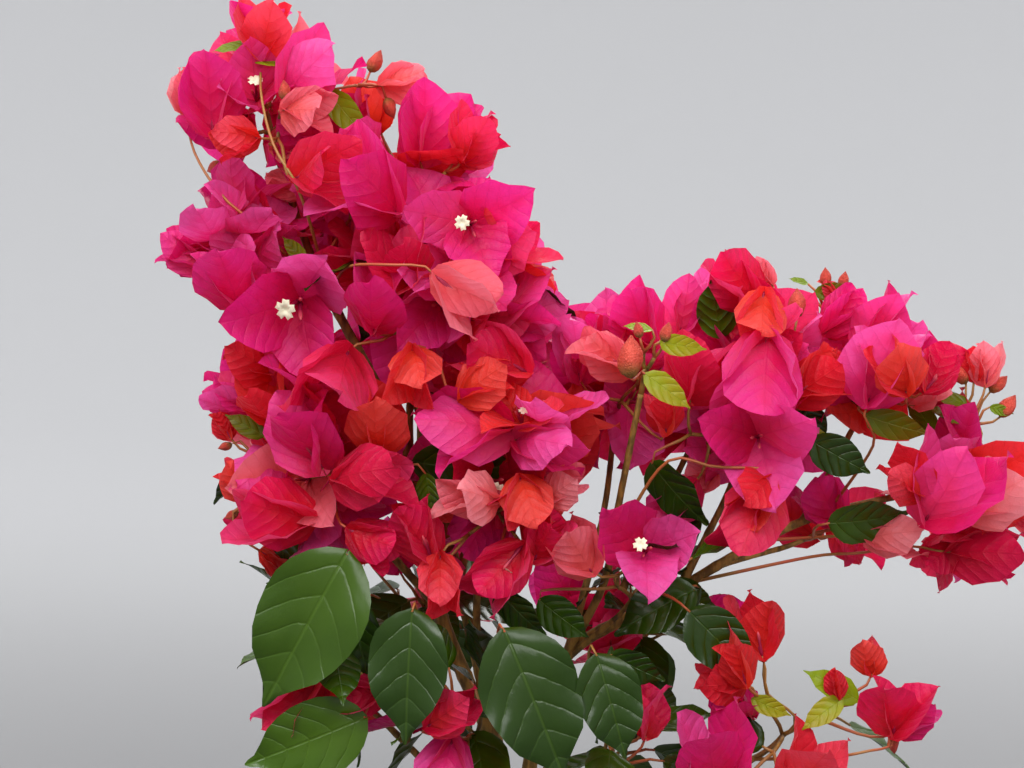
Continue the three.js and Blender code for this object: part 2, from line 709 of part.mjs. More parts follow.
// Twigs from the nearest knots to a head that found no place in the tree, where they touch nothing.
function sideShoots(space, head, knots, others) {
  const blades = others.flatMap((other) => other.blades);
  const nearest = knots.filter((knot) => knot.distanceTo(head.at) > SHORTEST);
  nearest.sort((a, b) => a.distanceTo(head.at) - b.distanceTo(head.at));
  const shoots = nearest.slice(0, KNOTS_TRIED).map((knot) => {
    const leaving = head.at.clone().sub(knot).normalize();
    const line = curveBetween(knot, leaving, head.at, head.heading);
    return { line, leaving, radii: [TWIG.fork, TWIG.end], facing: head.up, head };
  });
  return shoots.filter(({ line }) => {
    const points = TWIG_SHARES.map((share) => pointOn(line, share));
    const free = points.every((point) => !nearLimb(point) && keepsToSpace(space, point, TWIG.root));
    return free && !meetsAny(blades, points);
  });
}

// A solid with one of the side shoots fused to it, the first that joins on soundly.
function withShoot(body, shoots, knots) {
  for (const shoot of shoots) {
    const joined = body.add(twigSolid(shoot.line[0], shoot.leaving, TWIG.end, shoot));
    const fused = [joined.simplify(SNAP), joined].map(mainBody).find(isSound);
    if (fused) {
      knots.push(...knotsOf(shoot));
      return fused;
    }
  }
  return body;
}

// A spray is a tree of twigs from a root just clear of the end of its bough, and side shoots fused
// to it.
function growSpray(name, row) {
  const random = seeded(name);
  const space = spaces.find((other) => other.name === name);
  const { line, radii } = limbs[name];
  const leaving = directionOn(line, 1);
  const root = pointOn(line, 1).addScaledVector(leaving, CLEAR);
  const heads = placeHeads(space, row, random, root);
  let own = heads;
  let tree = treeOf(root, leaving, own, TWIG.root);
  for (let counts = trouble(space, tree); counts.size > 0; counts = trouble(space, tree)) {
    const [worst] = [...counts].reduce((a, b) => (b[1] > a[1] ? b : a));
    own = own.filter((head) => head !== worst);
    tree = treeOf(root, leaving, own, TWIG.root);
  }
  for (const head of heads.filter((other) => !own.includes(other))) {
    const fuller = treeOf(root, leaving, [...own, head], TWIG.root);
    if (trouble(space, fuller).size > 0) continue;
    own = [...own, head];
    tree = fuller;
  }
  let body = twigSolid(root, leaving, radii[1], tree);
  const knots = twigsOf(tree).flatMap(knotsOf);
  for (const head of heads.filter((other) => !own.includes(other))) {
    const others = heads.filter((other) => other !== head);
    body = withShoot(body, sideShoots(space, head, knots, others), knots);
  }
  return body;
}

function meshOf(name, solid, look) {
  const { vertProperties, triVerts } = solid.getMesh();
  const geometry = new THREE.BufferGeometry()
    .setAttribute("position", new THREE.BufferAttribute(new Float32Array(vertProperties), 3))
    .setIndex(new THREE.BufferAttribute(new Uint32Array(triVerts), 1));
  const mesh = new THREE.Mesh(mergeVertices(geometry), new THREE.MeshStandardMaterial(LOOKS[look]));
  mesh.name = name;
  return mesh;
}

const bush = new THREE.Group();
for (const [name, { solid }] of Object.entries(limbs)) {
  bush.add(meshOf(name === "trunk" ? name : `bough_${name}`, solid, "bark"));
}
for (const [name, row] of Object.entries(GROWTH)) {
  bush.add(meshOf(`spray_${name}`, growSpray(name, row), row.leaves > row.groups ? "leaves" : "bracts"));
}
export default bush;
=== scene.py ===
"""Looks of a bougainvillea bush, grown round its solid frame.

Limbs, twigs, bracts, leaves, buds and flowers are grown by the same seeded rule as the solids, carried
to finer twigs. Growth is worked out in millimetres and meshes are made in metres, +Z up, with the
origin at the centre of the flat cut under the trunk.
"""

import functools
import math
import zlib
from dataclasses import dataclass, field

import bpy
import numpy as np
from mathutils import Matrix, Vector


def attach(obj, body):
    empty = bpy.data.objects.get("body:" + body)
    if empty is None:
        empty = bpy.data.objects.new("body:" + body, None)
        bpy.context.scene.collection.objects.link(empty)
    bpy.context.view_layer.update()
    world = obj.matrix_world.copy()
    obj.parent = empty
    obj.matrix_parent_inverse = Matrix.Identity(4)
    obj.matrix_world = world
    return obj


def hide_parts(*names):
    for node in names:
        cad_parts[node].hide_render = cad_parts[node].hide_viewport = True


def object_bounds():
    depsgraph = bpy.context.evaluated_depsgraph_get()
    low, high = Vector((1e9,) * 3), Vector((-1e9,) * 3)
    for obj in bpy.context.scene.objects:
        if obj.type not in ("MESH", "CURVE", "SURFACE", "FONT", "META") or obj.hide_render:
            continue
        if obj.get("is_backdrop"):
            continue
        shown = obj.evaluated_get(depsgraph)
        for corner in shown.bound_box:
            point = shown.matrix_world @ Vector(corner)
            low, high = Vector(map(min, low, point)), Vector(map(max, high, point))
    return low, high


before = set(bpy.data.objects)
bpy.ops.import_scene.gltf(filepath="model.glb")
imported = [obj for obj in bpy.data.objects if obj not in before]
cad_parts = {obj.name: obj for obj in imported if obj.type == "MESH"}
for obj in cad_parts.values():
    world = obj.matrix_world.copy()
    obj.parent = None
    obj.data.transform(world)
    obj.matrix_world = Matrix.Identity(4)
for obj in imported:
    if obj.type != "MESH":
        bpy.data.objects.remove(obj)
cad_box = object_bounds()

bl_info = {
    "name": "Bougainvillea Bush",
    "version": (1, 0, 0),
    "blender": (4, 5, 0),
    "location": "View3D > Sidebar > Bush",
    "description": "Grows a flowering bougainvillea bush on its solid frame",
    "category": "Add Mesh",
}

MM = 0.001

# Sizes of the trunk in millimetres, as in the solids
TRUNK_HEIGHT = 84
TRUNK_RADII = (8.5, 6.8)
TRUNK_BEND = (-1.5, 0.5)
TRUNK_LEAN = (2, -2)
TRUNK_FLARE = 6
TRUNK_FLARE_HEIGHT = 9

# The gap between the spaces of two sprays in millimetres, the share of its spray's reach at which a
# bough ends, and the furthest share along a limb at which another leaves
CLEAR = 0.3
BOUGH_END = 0.6
LAST_START = 0.98

# Curves: the steps between two points, and how far the ends pull, as a share of the way between them
CURVE_STEPS = 12
CURVE_PULL = 0.35

# How twigs fork: how far on the way to the middle of their heads, how far onward in their own
# direction, how wide, how thick beside the twig before, how many turns of a fork are tried, and what
# each side that gets a head is worth there
FORK_SHARE = 0.4
FORK_ONWARD = 0.1
FORK_SPREAD = 0.8
FORK_THINNING = 0.8
ROLLS = 12
SIDE_WORTH = 12

# Each row is one bough and the spray at its tip: the limb that it leaves and how far along that one,
# the points that it passes through, its radii at root and tip, the middle and half-sizes of the space
# of its spray, how many groups of bracts, leaves and young tips fill it beside those that stand out, and
# the shares of magenta, crimson, scarlet and salmon among its bracts.
GROWTH = {
    "top_left": dict(
        on="trunk", at=1, via=[(-11, -3, 142), (-40, -6, 214), (-60, -6, 304), (-104, -2, 392)],
        radii=(4.8, 1.8), centre=(-136, -5, 484), reach=(52, 44, 58),
        groups=7, leaves=0, young=1, hues=(6, 2, 1, 2),
    ),
    "shoulder_left": dict(
        on="top_left", at=0.8, via=[], radii=(2.1, 1.5), centre=(-148, -14, 404), reach=(50, 50, 52),
        groups=10, leaves=0, young=0, hues=(8, 2, 0, 1),
    ),
    "crest": dict(
        on="top_left", at=0.46, via=[(-50, 4, 330), (-50, 4, 390)], radii=(3, 1.7),
        centre=(-62, -8, 446), reach=(74, 52, 56), groups=20, leaves=1, young=1, hues=(8, 4, 1, 0),
    ),
    "heart": dict(
        on="top_left", at=0.55, via=[(-54, -20, 330)], radii=(2.2, 1.6),
        centre=(-38, -34, 384), reach=(80, 54, 56), groups=25, leaves=4, young=0, hues=(8, 4, 1, 0),
    ),
    "flank_left": dict(
        on="top_left", at=0.36, via=[], radii=(2.3, 1.6),
        centre=(-112, -34, 300), reach=(64, 54, 66), groups=14, leaves=4, young=1, hues=(4, 4, 4, 1),
    ),
    "centre": dict(
        on="top_left", at=0.2, via=[(-20, -16, 220)], radii=(2.4, 1.6),
        centre=(-8, -42, 296), reach=(66, 54, 62), groups=17, leaves=6, young=0, hues=(4, 4, 5, 0),
    ),
    "right_inner": dict(
        on="right_tip", at=0.36, via=[(46, 2, 260)], radii=(2.2, 1.5),
        centre=(56, 2, 332), reach=(48, 56, 48), groups=12, leaves=3, young=0, hues=(6, 4, 1, 1),
    ),
    "upright": dict(
        on="right_tip", at=0.32, via=[(45, -26, 229), (53, -46, 277)], radii=(2.4, 1.5),
        centre=(66, -70, 350), reach=(32, 28, 40), groups=0, leaves=0, young=0, hues=(1, 2, 2, 3),
    ),
    "right_heart": dict(
        on="right_tip", at=0.58, via=[(112, -6, 276)], radii=(2.3, 1.5),
        centre=(122, -14, 334), reach=(58, 58, 68), groups=17, leaves=4, young=1, hues=(8, 4, 1, 0),
    ),
    "right_shoulder": dict(
        on="right_tip", at=0.82, via=[], radii=(2, 1.5),
        centre=(194, -4, 340), reach=(56, 50, 46), groups=11, leaves=1, young=1, hues=(5, 3, 3, 1),
    ),
    "right_tip": dict(
        on="trunk", at=1, via=[(20, -3, 180), (77, -8, 220), (146, -6, 259)], radii=(4.4, 1.7),
        centre=(236, -8, 284), reach=(50, 48, 60), groups=8, leaves=0, young=1, hues=(6, 3, 4, 1),
    ),
    "hanging": dict(
        on="right_tip", at=0.66, via=[], radii=(1.8, 1.4),
        centre=(166, 6, 252), reach=(46, 46, 34), groups=3, leaves=2, young=0, hues=(6, 4, 1, 0),
    ),
    "right_low": dict(
        on="right_tip", at=0.34, via=[], radii=(2, 1.5),
        centre=(70, -40, 230), reach=(56, 46, 50), groups=3, leaves=11, young=0, hues=(5, 4, 1, 0),
    ),
    "low_right": dict(
        on="trunk", at=0.8, via=[(40, -8, 88)], radii=(2.8, 1.6),
        centre=(158, -32, 162), reach=(70, 46, 54), groups=0, leaves=1, young=0, hues=(3, 3, 4, 1),
    ),
    "skirt_left": dict(
        on="trunk", at=0.9, via=[(-34, -14, 122)], radii=(2.6, 1.6),
        centre=(-100, -42, 196), reach=(64, 50, 60), groups=1, leaves=13, young=0, hues=(1, 3, 4, 1),
    ),
    "skirt_centre": dict(
        on="trunk", at=0.97, via=[], radii=(2.3, 1.6),
        centre=(-20, -50, 166), reach=(60, 50, 60), groups=1, leaves=14, young=0, hues=(3, 5, 2, 0),
    ),
    "skirt_right": dict(
        on="trunk", at=0.88, via=[], radii=(2.3, 1.6),
        centre=(56, -34, 146), reach=(58, 50, 58), groups=1, leaves=13, young=0, hues=(3, 5, 1, 0),
    ),
    "back_crest": dict(
        on="trunk", at=1, via=[(-8, 22, 130), (-30, 42, 220), (-54, 50, 320)], radii=(4.2, 1.8),
        centre=(-84, 54, 432), reach=(66, 50, 62), groups=22, leaves=2, young=2, hues=(6, 4, 2, 1),
    ),
    "back_left": dict(
        on="back_crest", at=0.56, via=[], radii=(2.2, 1.5),
        centre=(-116, 58, 320), reach=(62, 50, 60), groups=20, leaves=5, young=1, hues=(5, 4, 3, 1),
    ),
    "back_centre": dict(
        on="back_crest", at=0.46, via=[], radii=(2.3, 1.6),
        centre=(-8, 62, 354), reach=(66, 50, 66), groups=22, leaves=6, young=0, hues=(6, 4, 2, 0),
    ),
    "back_right": dict(
        on="trunk", at=1, via=[(24, 20, 140), (60, 44, 220)], radii=(3.8, 1.7),
        centre=(112, 58, 326), reach=(68, 50, 62), groups=21, leaves=5, young=1, hues=(6, 4, 2, 0),
    ),
    "back_low_left": dict(
        on="back_crest", at=0.2, via=[], radii=(2.3, 1.6),
        centre=(-52, 56, 214), reach=(76, 54, 66), groups=7, leaves=16, young=0, hues=(3, 4, 3, 0),
    ),
    "back_low_right": dict(
        on="back_right", at=0.3, via=[], radii=(2.3, 1.6),
        centre=(68, 52, 200), reach=(72, 52, 66), groups=6, leaves=16, young=0, hues=(4, 4, 3, 0),
    ),
}
HUES = ("magenta", "crimson", "scarlet", "salmon")

# A roll of 0 looks into a group of bracts, and this one onto the outside of its nearest bract
BACK = math.pi


def bracts(carried, aim, depth, nearer, scale, hue, opening, roll=BACK, is_open=False):
    """A row for a group of bracts, opened so many radians. is_open: whether its flowers are open."""
    return "bracts", carried, aim, depth, nearer, scale, hue, opening, roll, is_open


def bud(carried, aim, depth, scale):
    return "bud", carried, aim, depth, 0, scale, HUES[0], 0, 0, False


def leaf(carried, aim, depth, nearer, roll, kind="leaf"):
    """A row for a leaf, whose size is the way from its root to its tip."""
    return kind, carried, aim, depth, nearer, 1, HUES[0], 0, roll, False


def young(*places):
    return leaf(*places, "young")


# The heads that stand out in front of each spray: the column and row in the frame where the head is
# carried and where it points to, how far the first lies behind the plane of the trunk and how much
# nearer the second is, in millimetres, then what the functions above say
STANDING_OUT = {
    "top_left": [
        bracts((262, 58), (268, 0), -22, 6, 0.72, "scarlet", 0.28),
        bracts((286, 98), (338, 40), -34, 8, 0.95, "magenta", 0.35),
        bracts((213, 133), (211, 52), -34, 4, 0.95, "magenta", 0.3),
        bracts((186, 112), (182, 68), -14, 0, 0.5, "salmon", 0.25, 0),
        bracts((257, 138), (215, 136), -46, 4, 0.55, "scarlet", 0.3),
        bracts((284, 110), (336, 112), -48, 6, 0.62, "salmon", 0.35),
        bracts((296, 178), (352, 172), -56, 20, 0.8, "crimson", 0.5),
        bud((285, 100), (284, 84), -50, 0.8),
        young((250, 46), (212, 48), -22, 3, 0.5),
        young((254, 60), (288, 62), -24, 3, -0.5),
        young((328, 92), (366, 138), -30, 4, 0.3),
    ],
    "shoulder_left": [
        bracts((205, 268), (154, 245), -24, 2, 0.62, "magenta", 0.35),
        bracts((240, 306), (222, 250), -46, 6, 0.85, "magenta", 0.45),
        bracts((250, 264), (208, 214), -26, 2, 0.68, "magenta", 0.4),
        bracts((300, 300), (296, 312), -52, 22, 1.05, "magenta", 0.9, 0.5, True),
        bracts((248, 408), (206, 388), -26, 2, 0.55, "magenta", 0.3, 0),
    ],
    "crest": [
        bracts((380, 86), (432, 77), -16, 0, 0.6, "salmon", 0.26),
        bud((370, 72), (380, 52), -18, 0.9),
        bud((386, 98), (392, 113), -18, 0.8),
        bracts((420, 162), (437, 88), -26, 0, 0.9, "magenta", 0.2, 0.8),
        bracts((462, 160), (480, 108), -32, 6, 0.7, "crimson", 0.4),
        bracts((458, 158), (502, 142), -26, 2, 0.62, "crimson", 0.35, 0.4),
        bracts((396, 212), (340, 168), -58, 10, 1.05, "magenta", 0.5),
        bracts((476, 256), (546, 240), -48, 6, 0.9, "crimson", 0.4),
        bracts((470, 224), (470, 228), -60, 24, 0.8, "magenta", 1.0, 0.2, True),
        young((305, 262), (283, 236), -34, 2, 0),
    ],
    "heart": [
        bracts((436, 276), (478, 312), -86, 4, 0.8, "salmon", 0.2),
        bracts((374, 330), (386, 292), -66, 6, 0.85, "magenta", 0.5),
        bracts((412, 350), (411, 388), -80, 10, 0.66, "scarlet", 0.4),
        bracts((526, 372), (472, 346), -66, 8, 0.85, "crimson", 0.4),
        bracts((462, 398), (510, 374), -78, 4, 0.62, "scarlet", 0.3),
        bracts((500, 320), (546, 300), -44, 4, 0.8, "magenta", 0.4, 0.4),
        bracts((348, 352), (330, 392), -70, 8, 0.95, "crimson", 0.55, 0.6),
    ],
    "flank_left": [
        bracts((272, 373), (230, 342), -44, 4, 0.62, "scarlet", 0.3),
        bracts((322, 468), (292, 404), -80, 14, 0.98, "magenta", 0.5, 0.3, True),
        bracts((378, 452), (386, 398), -66, 6, 0.74, "scarlet", 0.3),
        bracts((336, 480), (394, 482), -84, 8, 0.88, "crimson", 0.35),
        bracts((312, 520), (246, 506), -62, 4, 0.92, "crimson", 0.35),
        bracts((350, 530), (396, 548), -74, 6, 0.66, "crimson", 0.3),
        bracts((250, 497), (226, 464), -36, 2, 0.52, "scarlet", 0.22),
        bracts((262, 552), (302, 570), -42, 2, 0.46, "scarlet", 0.16),
        bracts((230, 438), (216, 411), -30, 2, 0.36, "scarlet", 0.14),
        bud((232, 444), (214, 450), -30, 0.5),
        bud((238, 512), (226, 518), -34, 0.6),
        young((264, 436), (226, 414), -40, 4, 0),
        leaf((426, 474), (432, 518), -64, 2, 0.6),
    ],
    "centre": [
        bracts((508, 430), (420, 440), -88, 8, 1.0, "magenta", 0.4, 1.2),
        bracts((516, 440), (572, 452), -88, 12, 0.8, "magenta", 0.35, 1.0),
        bracts((546, 426), (551, 364), -74, 12, 0.8, "magenta", 0.8, 0.4, True),
        bracts((522, 424), (514, 388), -84, 14, 0.6, "scarlet", 0.9, 0.2, True),
        bracts((496, 502), (450, 496), -80, 6, 0.66, "salmon", 0.35),
        bracts((520, 478), (524, 520), -78, 8, 0.62, "scarlet", 0.4),
        bracts((548, 500), (572, 484), -72, 4, 0.5, "salmon", 0.3),
        bracts((432, 560), (414, 512), -76, 6, 0.76, "crimson", 0.35),
        bracts((440, 556), (441, 600), -82, 6, 0.66, "scarlet", 0.35),
        bracts((522, 546), (486, 590), -80, 8, 0.82, "crimson", 0.4, BACK, True),
        bracts((534, 560), (556, 524), -70, 6, 0.62, "crimson", 0.4),
        leaf((414, 462), (522, 476), -60, 2, 0.9),
        leaf((498, 590), (542, 640), -74, 2, 0.8),
    ],
    "right_inner": [
        bracts((652, 346), (624, 298), -28, 2, 0.82, "magenta", 0.4),
        bracts((630, 372), (587, 347), -54, 4, 0.72, "salmon", 0.35),
        bracts((666, 432), (661, 396), -54, 4, 0.52, "scarlet", 0.25),
        bracts((680, 332), (693, 284), -24, 0, 0.62, "magenta", 0.15, 1.2),
        bracts((580, 380), (576, 314), -30, 4, 0.8, "magenta", 0.4, 0.6),
    ],
    "upright": [
        bud((630, 378), (631, 337), -88, 1.65),
        bud((640, 338), (637, 324), -86, 0.6),
        bud((664, 342), (668, 326), -84, 0.7),
        young((660, 342), (706, 350), -84, 4, 0.4),
        young((645, 374), (691, 407), -88, 4, 0.1),
        young((652, 330), (624, 323), -84, 2, 0.6),
    ],
    "right_heart": [
        bracts((758, 302), (717, 266), -38, 4, 0.74, "crimson", 0.35),
        bracts((764, 292), (758, 336), -58, 8, 0.66, "scarlet", 0.4),
        bracts((772, 284), (752, 258), -28, 0, 0.38, "salmon", 0.14),
        bud((797, 318), (797, 288), -34, 1.2),
        bracts((768, 334), (747, 412), -76, 10, 1.05, "magenta", 0.4),
        bracts((758, 436), (757, 446), -74, 26, 0.92, "magenta", 0.75, 0.6),
        bracts((792, 398), (828, 372), -54, 4, 0.72, "scarlet", 0.35),
        bracts((836, 382), (836, 348), -52, 2, 0.42, "scarlet", 0.14),
        bracts((766, 484), (738, 544), -60, 6, 0.85, "crimson", 0.35),
        bracts((772, 478), (744, 516), -68, 6, 0.62, "scarlet", 0.35),
        bracts((694, 484), (652, 526), -30, 4, 0.75, "magenta", 0.3),
        bracts((690, 400), (700, 350), -50, 6, 0.8, "crimson", 0.4, 0.5),
        leaf((812, 441), (870, 475), -54, 4, 0.5),
        leaf((802, 404), (826, 446), -30, 2, 0),
        leaf((652, 464), (703, 530), -48, 2, 0.9),
    ],
    "right_shoulder": [
        bracts((866, 356), (898, 297), -34, 4, 0.86, "magenta", 0.4),
        bracts((868, 402), (886, 326), -58, 6, 0.92, "magenta", 0.4),
        bracts((906, 392), (893, 336), -68, 6, 0.7, "scarlet", 0.35),
        bracts((926, 390), (949, 358), -50, 2, 0.56, "crimson", 0.3),
        bracts((826, 332), (850, 306), -28, 2, 0.62, "magenta", 0.3, 0.6),
        bracts((838, 300), (826, 284), -16, 0, 0.3, "scarlet", 0.14),
        bud((826, 286), (825, 263), -14, 0.9),
        bud((842, 288), (845, 274), -12, 0.7),
        young((815, 293), (856, 290), -16, 2, 0.5),
        young((808, 284), (789, 277), -14, 0, 0.5),
        young((866, 416), (930, 437), -54, 4, 0.6),
    ],
    "right_tip": [
        bracts((926, 520), (960, 434), -64, 10, 1.08, "magenta", 0.42),
        bracts((922, 494), (890, 462), -70, 4, 0.62, "scarlet", 0.3),
        bracts((964, 512), (1010, 476), -52, 4, 0.78, "salmon", 0.35),
        bracts((950, 552), (1008, 558), -40, 2, 0.82, "crimson", 0.35),
        bracts((958, 540), (928, 572), -34, 2, 0.6, "crimson", 0.4),
        bracts((868, 538), (920, 542), -38, 2, 0.66, "salmon", 0.25),
        bracts((986, 384), (993, 340), -14, 0, 0.5, "salmon", 0.22),
        bracts((974, 380), (970, 342), -12, 0, 0.42, "scarlet", 0.1, 1.2),
        bud((966, 384), (956, 366), -12, 0.9),
        bud((990, 392), (1003, 380), -12, 0.8),
        bud((1000, 417), (1012, 400), -12, 1.1),
        young((968, 404), (928, 391), -16, 2, 0.5),
        young((968, 420), (930, 406), -18, 2, 0.2),
        young((970, 420), (983, 441), -18, 4, 0),
        young((990, 407), (1014, 414), -14, 2, 0.3),
    ],
    "hanging": [
        bracts((838, 522), (817, 479), -12, 2, 0.68, "magenta", 0.4),
        bracts((838, 526), (850, 552), -10, 2, 0.5, "crimson", 0.3, 0.4),
        leaf((830, 523), (912, 519), -44, 2, 0.8),
    ],
    "right_low": [
        bracts((645, 552), (644, 546), -84, 26, 0.8, "magenta", 0.66, 0.7, True),
        bracts((592, 572), (560, 536), -70, 4, 0.7, "salmon", 0.3),
        leaf((694, 590), (612, 630), -46, 2, 0.4),
        leaf((700, 588), (640, 612), -30, 2, -0.4),
        leaf((690, 612), (756, 678), -60, 4, 0.2),
        leaf((540, 600), (588, 640), -60, 2, 0.4),
    ],
    "low_right": [
        bracts((762, 656), (745, 596), -56, 4, 0.72, "scarlet", 0.28),
        bracts((746, 684), (728, 638), -66, 6, 0.6, "scarlet", 0.3),
        bracts((744, 682), (692, 672), -56, 2, 0.56, "scarlet", 0.2, 0.8),
        bracts((752, 716), (732, 688), -44, 2, 0.6, "magenta", 0.5, 0.4),
        bracts((716, 790), (706, 712), -74, 6, 0.98, "magenta", 0.35, BACK, True),
        bracts((792, 792), (816, 742), -70, 6, 0.85, "scarlet", 0.4),
        bracts((838, 698), (834, 674), -56, 0, 0.32, "scarlet", 0.14),
        bracts((872, 674), (870, 640), -48, 2, 0.42, "scarlet", 0.2, 0.6),
        bracts((893, 734), (899, 686), -56, 6, 0.72, "crimson", 0.45),
        bracts((896, 732), (936, 706), -50, 2, 0.56, "magenta", 0.2),
        bud((764, 662), (766, 652), -50, 0.6),
        bud((893, 736), (894, 748), -50, 0.8),
        young((752, 699), (791, 716), -58, 4, 0.2),
        young((858, 700), (808, 670), -50, 6, 0.1),
        young((842, 699), (802, 728), -56, 6, 0.2),
        leaf((762, 746), (712, 712), -52, 2, 0.3),
    ],
    "skirt_left": [
        leaf((346, 554), (260, 709), -84, 8, -0.1),
        leaf((364, 718), (244, 768), -72, 6, -0.3),
        leaf((352, 600), (366, 690), -64, 2, 0.4),
        bracts((318, 680), (258, 724), -60, 2, 0.85, "crimson", 0.25),
        bracts((384, 692), (338, 700), -64, 2, 0.6, "crimson", 0.25),
    ],
    "skirt_centre": [
        leaf((412, 612), (402, 746), -92, 8, 0.15),
        leaf((505, 632), (570, 784), -94, 8, -0.1),
        bracts((428, 726), (486, 694), -92, 6, 0.72, "crimson", 0.34),
        bracts((452, 740), (440, 796), -94, 8, 0.85, "magenta", 0.4),
    ],
    "skirt_right": [
        leaf((597, 656), (629, 761), -84, 6, -0.1),
        leaf((612, 655), (664, 684), -60, 2, 0.6),
        bracts((646, 736), (655, 682), -52, 2, 0.6, "crimson", 0.5, 0.5),
    ],
}

# Stalks that show on their way: spray and place in its list above, then the limb or the other such
# stalk that it leaves, how far along that one, and the columns, rows and depths that it passes
SHOWN_STALKS = {
    ("top_left", 0): ("top_left", 0.8, [(302, 198, -56), (274, 146, -54), (262, 100, -40)]),
    ("top_left", 3): ("top_left", 0.78, [(266, 234, -34), (224, 198, -38), (196, 156, -28)]),
    ("shoulder_left", 0): ("top_left", 0.72, [(292, 342, -52), (256, 328, -50), (220, 304, -38)]),
    ("heart", 0): ("top_left", 0.8, [(346, 268, -64), (394, 265, -86)]),
    ("crest", 0): ("top_left", 0.96, [(290, 104, -28), (332, 90, -30), (360, 85, -22)]),
    ("crest", 1): (("crest", 0), 0.84, []),
    ("crest", 2): (("crest", 0), 0.86, []),
    ("flank_left", 7): ("flank_left", 0.98, [(262, 502, -44), (232, 514, -40), (240, 534, -42)]),
    ("flank_left", 9): (("flank_left", 7), 0.3, []),
    ("flank_left", 10): (("flank_left", 7), 0.62, []),
    ("right_heart", 9): ("upright", 0.5, [(665, 463, -58), (716, 467, -68)]),
    ("right_shoulder", 1): ("right_tip", 0.86, [(873, 446, -46)]),
    ("right_tip", 3): ("right_tip", 0.6, [(810, 557, -20), (859, 553, -30), (908, 546, -38)]),
    ("right_tip", 5): ("right_tip", 0.74, [(838, 536, -26)]),
    ("low_right", 0): ("low_right", 0.97, [(796, 722, -44), (768, 694, -54)]),
    ("low_right", 8): ("low_right", 0.97, [(832, 757, -56), (868, 751, -60)]),
    ("low_right", 11): (("low_right", 8), 0.9, []),
}

# The frame that the columns and rows are read in: its size, the width that one column spans in the
# plane of the trunk, and the eye, in millimetres
FRAME_SIZE = (1024, 768)
COLUMN_WIDTH = 0.53
EYE = (-1.6, -950.0, 333.5)

# Where the frame shows the wall beside and between the sprays: column, row and radius of each open place
OPEN_PLACES = {
    "left of the top": (126, 26, 82),
    "under the top": (150, 166, 46),
    "under the left shoulder": (152, 338, 66),
    "left of the flank": (160, 440, 48),
    "under the flank": (160, 570, 78),
    "left of the skirt": (168, 694, 72),
    "between top and crest": (402, 16, 40),
    "beside the crest's stalk": (392, 136, 12),
    "right of the crest": (576, 116, 72),
    "between the plumes": (612, 222, 66),
    "foot of the notch": (578, 296, 12),
    "over the right plume": (664, 224, 50),
    "right of the plume's top": (742, 214, 38),
    "over the shoulder": (884, 238, 46),
    "right of the shoulder": (948, 288, 38),
    "among the stems": (415, 434, 12),
    "left of the upright": (593, 492, 10),
    "under the arch": (852, 600, 40),
    "under the end of the arch": (970, 645, 56),
    "right of the low sprig": (994, 716, 52),
    "beside the end buds": (1008, 428, 14),
    "in the flank": (236, 452, 8),
    "under the bare arch": (794, 570, 12),
    "left of the low sprig": (686, 676, 12),
}

# Room round an open place, in columns
OPEN_MARGIN = 8

# How often a place is tried for a head, and how small it has become by the last try
TRIES = 160
SMALLEST = 0.7
SMALLEST_ROOM = 0.6

# How deep heads lie in the space of a spray, in shares of its reach, the power that crowds them
# outwards, and how far their tips may reach
DEPTHS = (0.05, 0.78)
OUTER_DEPTHS = (0.45, 0.92)
DEPTH_POWER = 0.7
TIP_ROOM = 1.08

# What turns a head: away from the middle of its spray and from its root, up, down and at random, and
# how far the face of a leaf leans outwards
FLATTER = (1.0, 0.6, 1.0)
AWAY_FROM_ROOT = 0.3
RISE = 0.4
DROOP = 0.5
SWAY = 0.5
FACING_OUT = 0.6

# How wide groups of bracts open in radians, how small those at the tips are, and how large leaves are
OPENING = (0.4, 1.1)
TIP_OPENING = (0.2, 0.4)
TIP_SCALE = 0.5
LEAF_SCALES = (0.55, 1.15)
OPEN_SHARE = 0.1
BRACT_SHAPES = 12

# Room in millimetres round the middle of a head, round limbs and in front of limbs that show bare,
# and the stretches of those
HEAD_ROOM = {"bracts": 12, "leaf": 14, "young": 7, "bud": 5, "tip": 7}
LIMB_ROOM = 5
BARE_ROOM = 8
BARE_STRETCHES = {"right_tip": (0.12, 0.86), "upright": (0.1, 1.0), "top_left": (0.66, 0.8)}

# Where that room is measured: shares of the way from a head's root to its tips, and points on a limb
# and on a bare stretch
HEAD_SHARES = (0.3, 0.6, 0.9)
LIMB_POINTS = 40
BARE_POINTS = 30

# The straight end of a stalk and the radii of twigs, in millimetres
STALK_STRAIGHT = 9
TWIG_RADII = {"root": 1.5, "fork": 1.0, "end": 0.6}

# The plane in front of the trunk that heads reach to, how far another head keeps beside one that
# stands out or behind it, in millimetres, and the direction that such a head faces
FRONT_REACH = -99.0
COLUMN_ROOM = 20
BEHIND = 10
TOWARDS_VIEW = np.array((0.0, -0.96, 0.28))

UP = np.array((0.0, 0.0, 1.0))


# Growth


def unit(v):
    return v / max(np.linalg.norm(v), 1e-9)


def mix(a, b, share):
    return a + (b - a) * share


def turned(v, axis, angle):
    """A vector turned about an axis of length 1."""
    along = axis * np.dot(axis, v)
    return along + (v - along) * math.cos(angle) + np.cross(axis, v) * math.sin(angle)


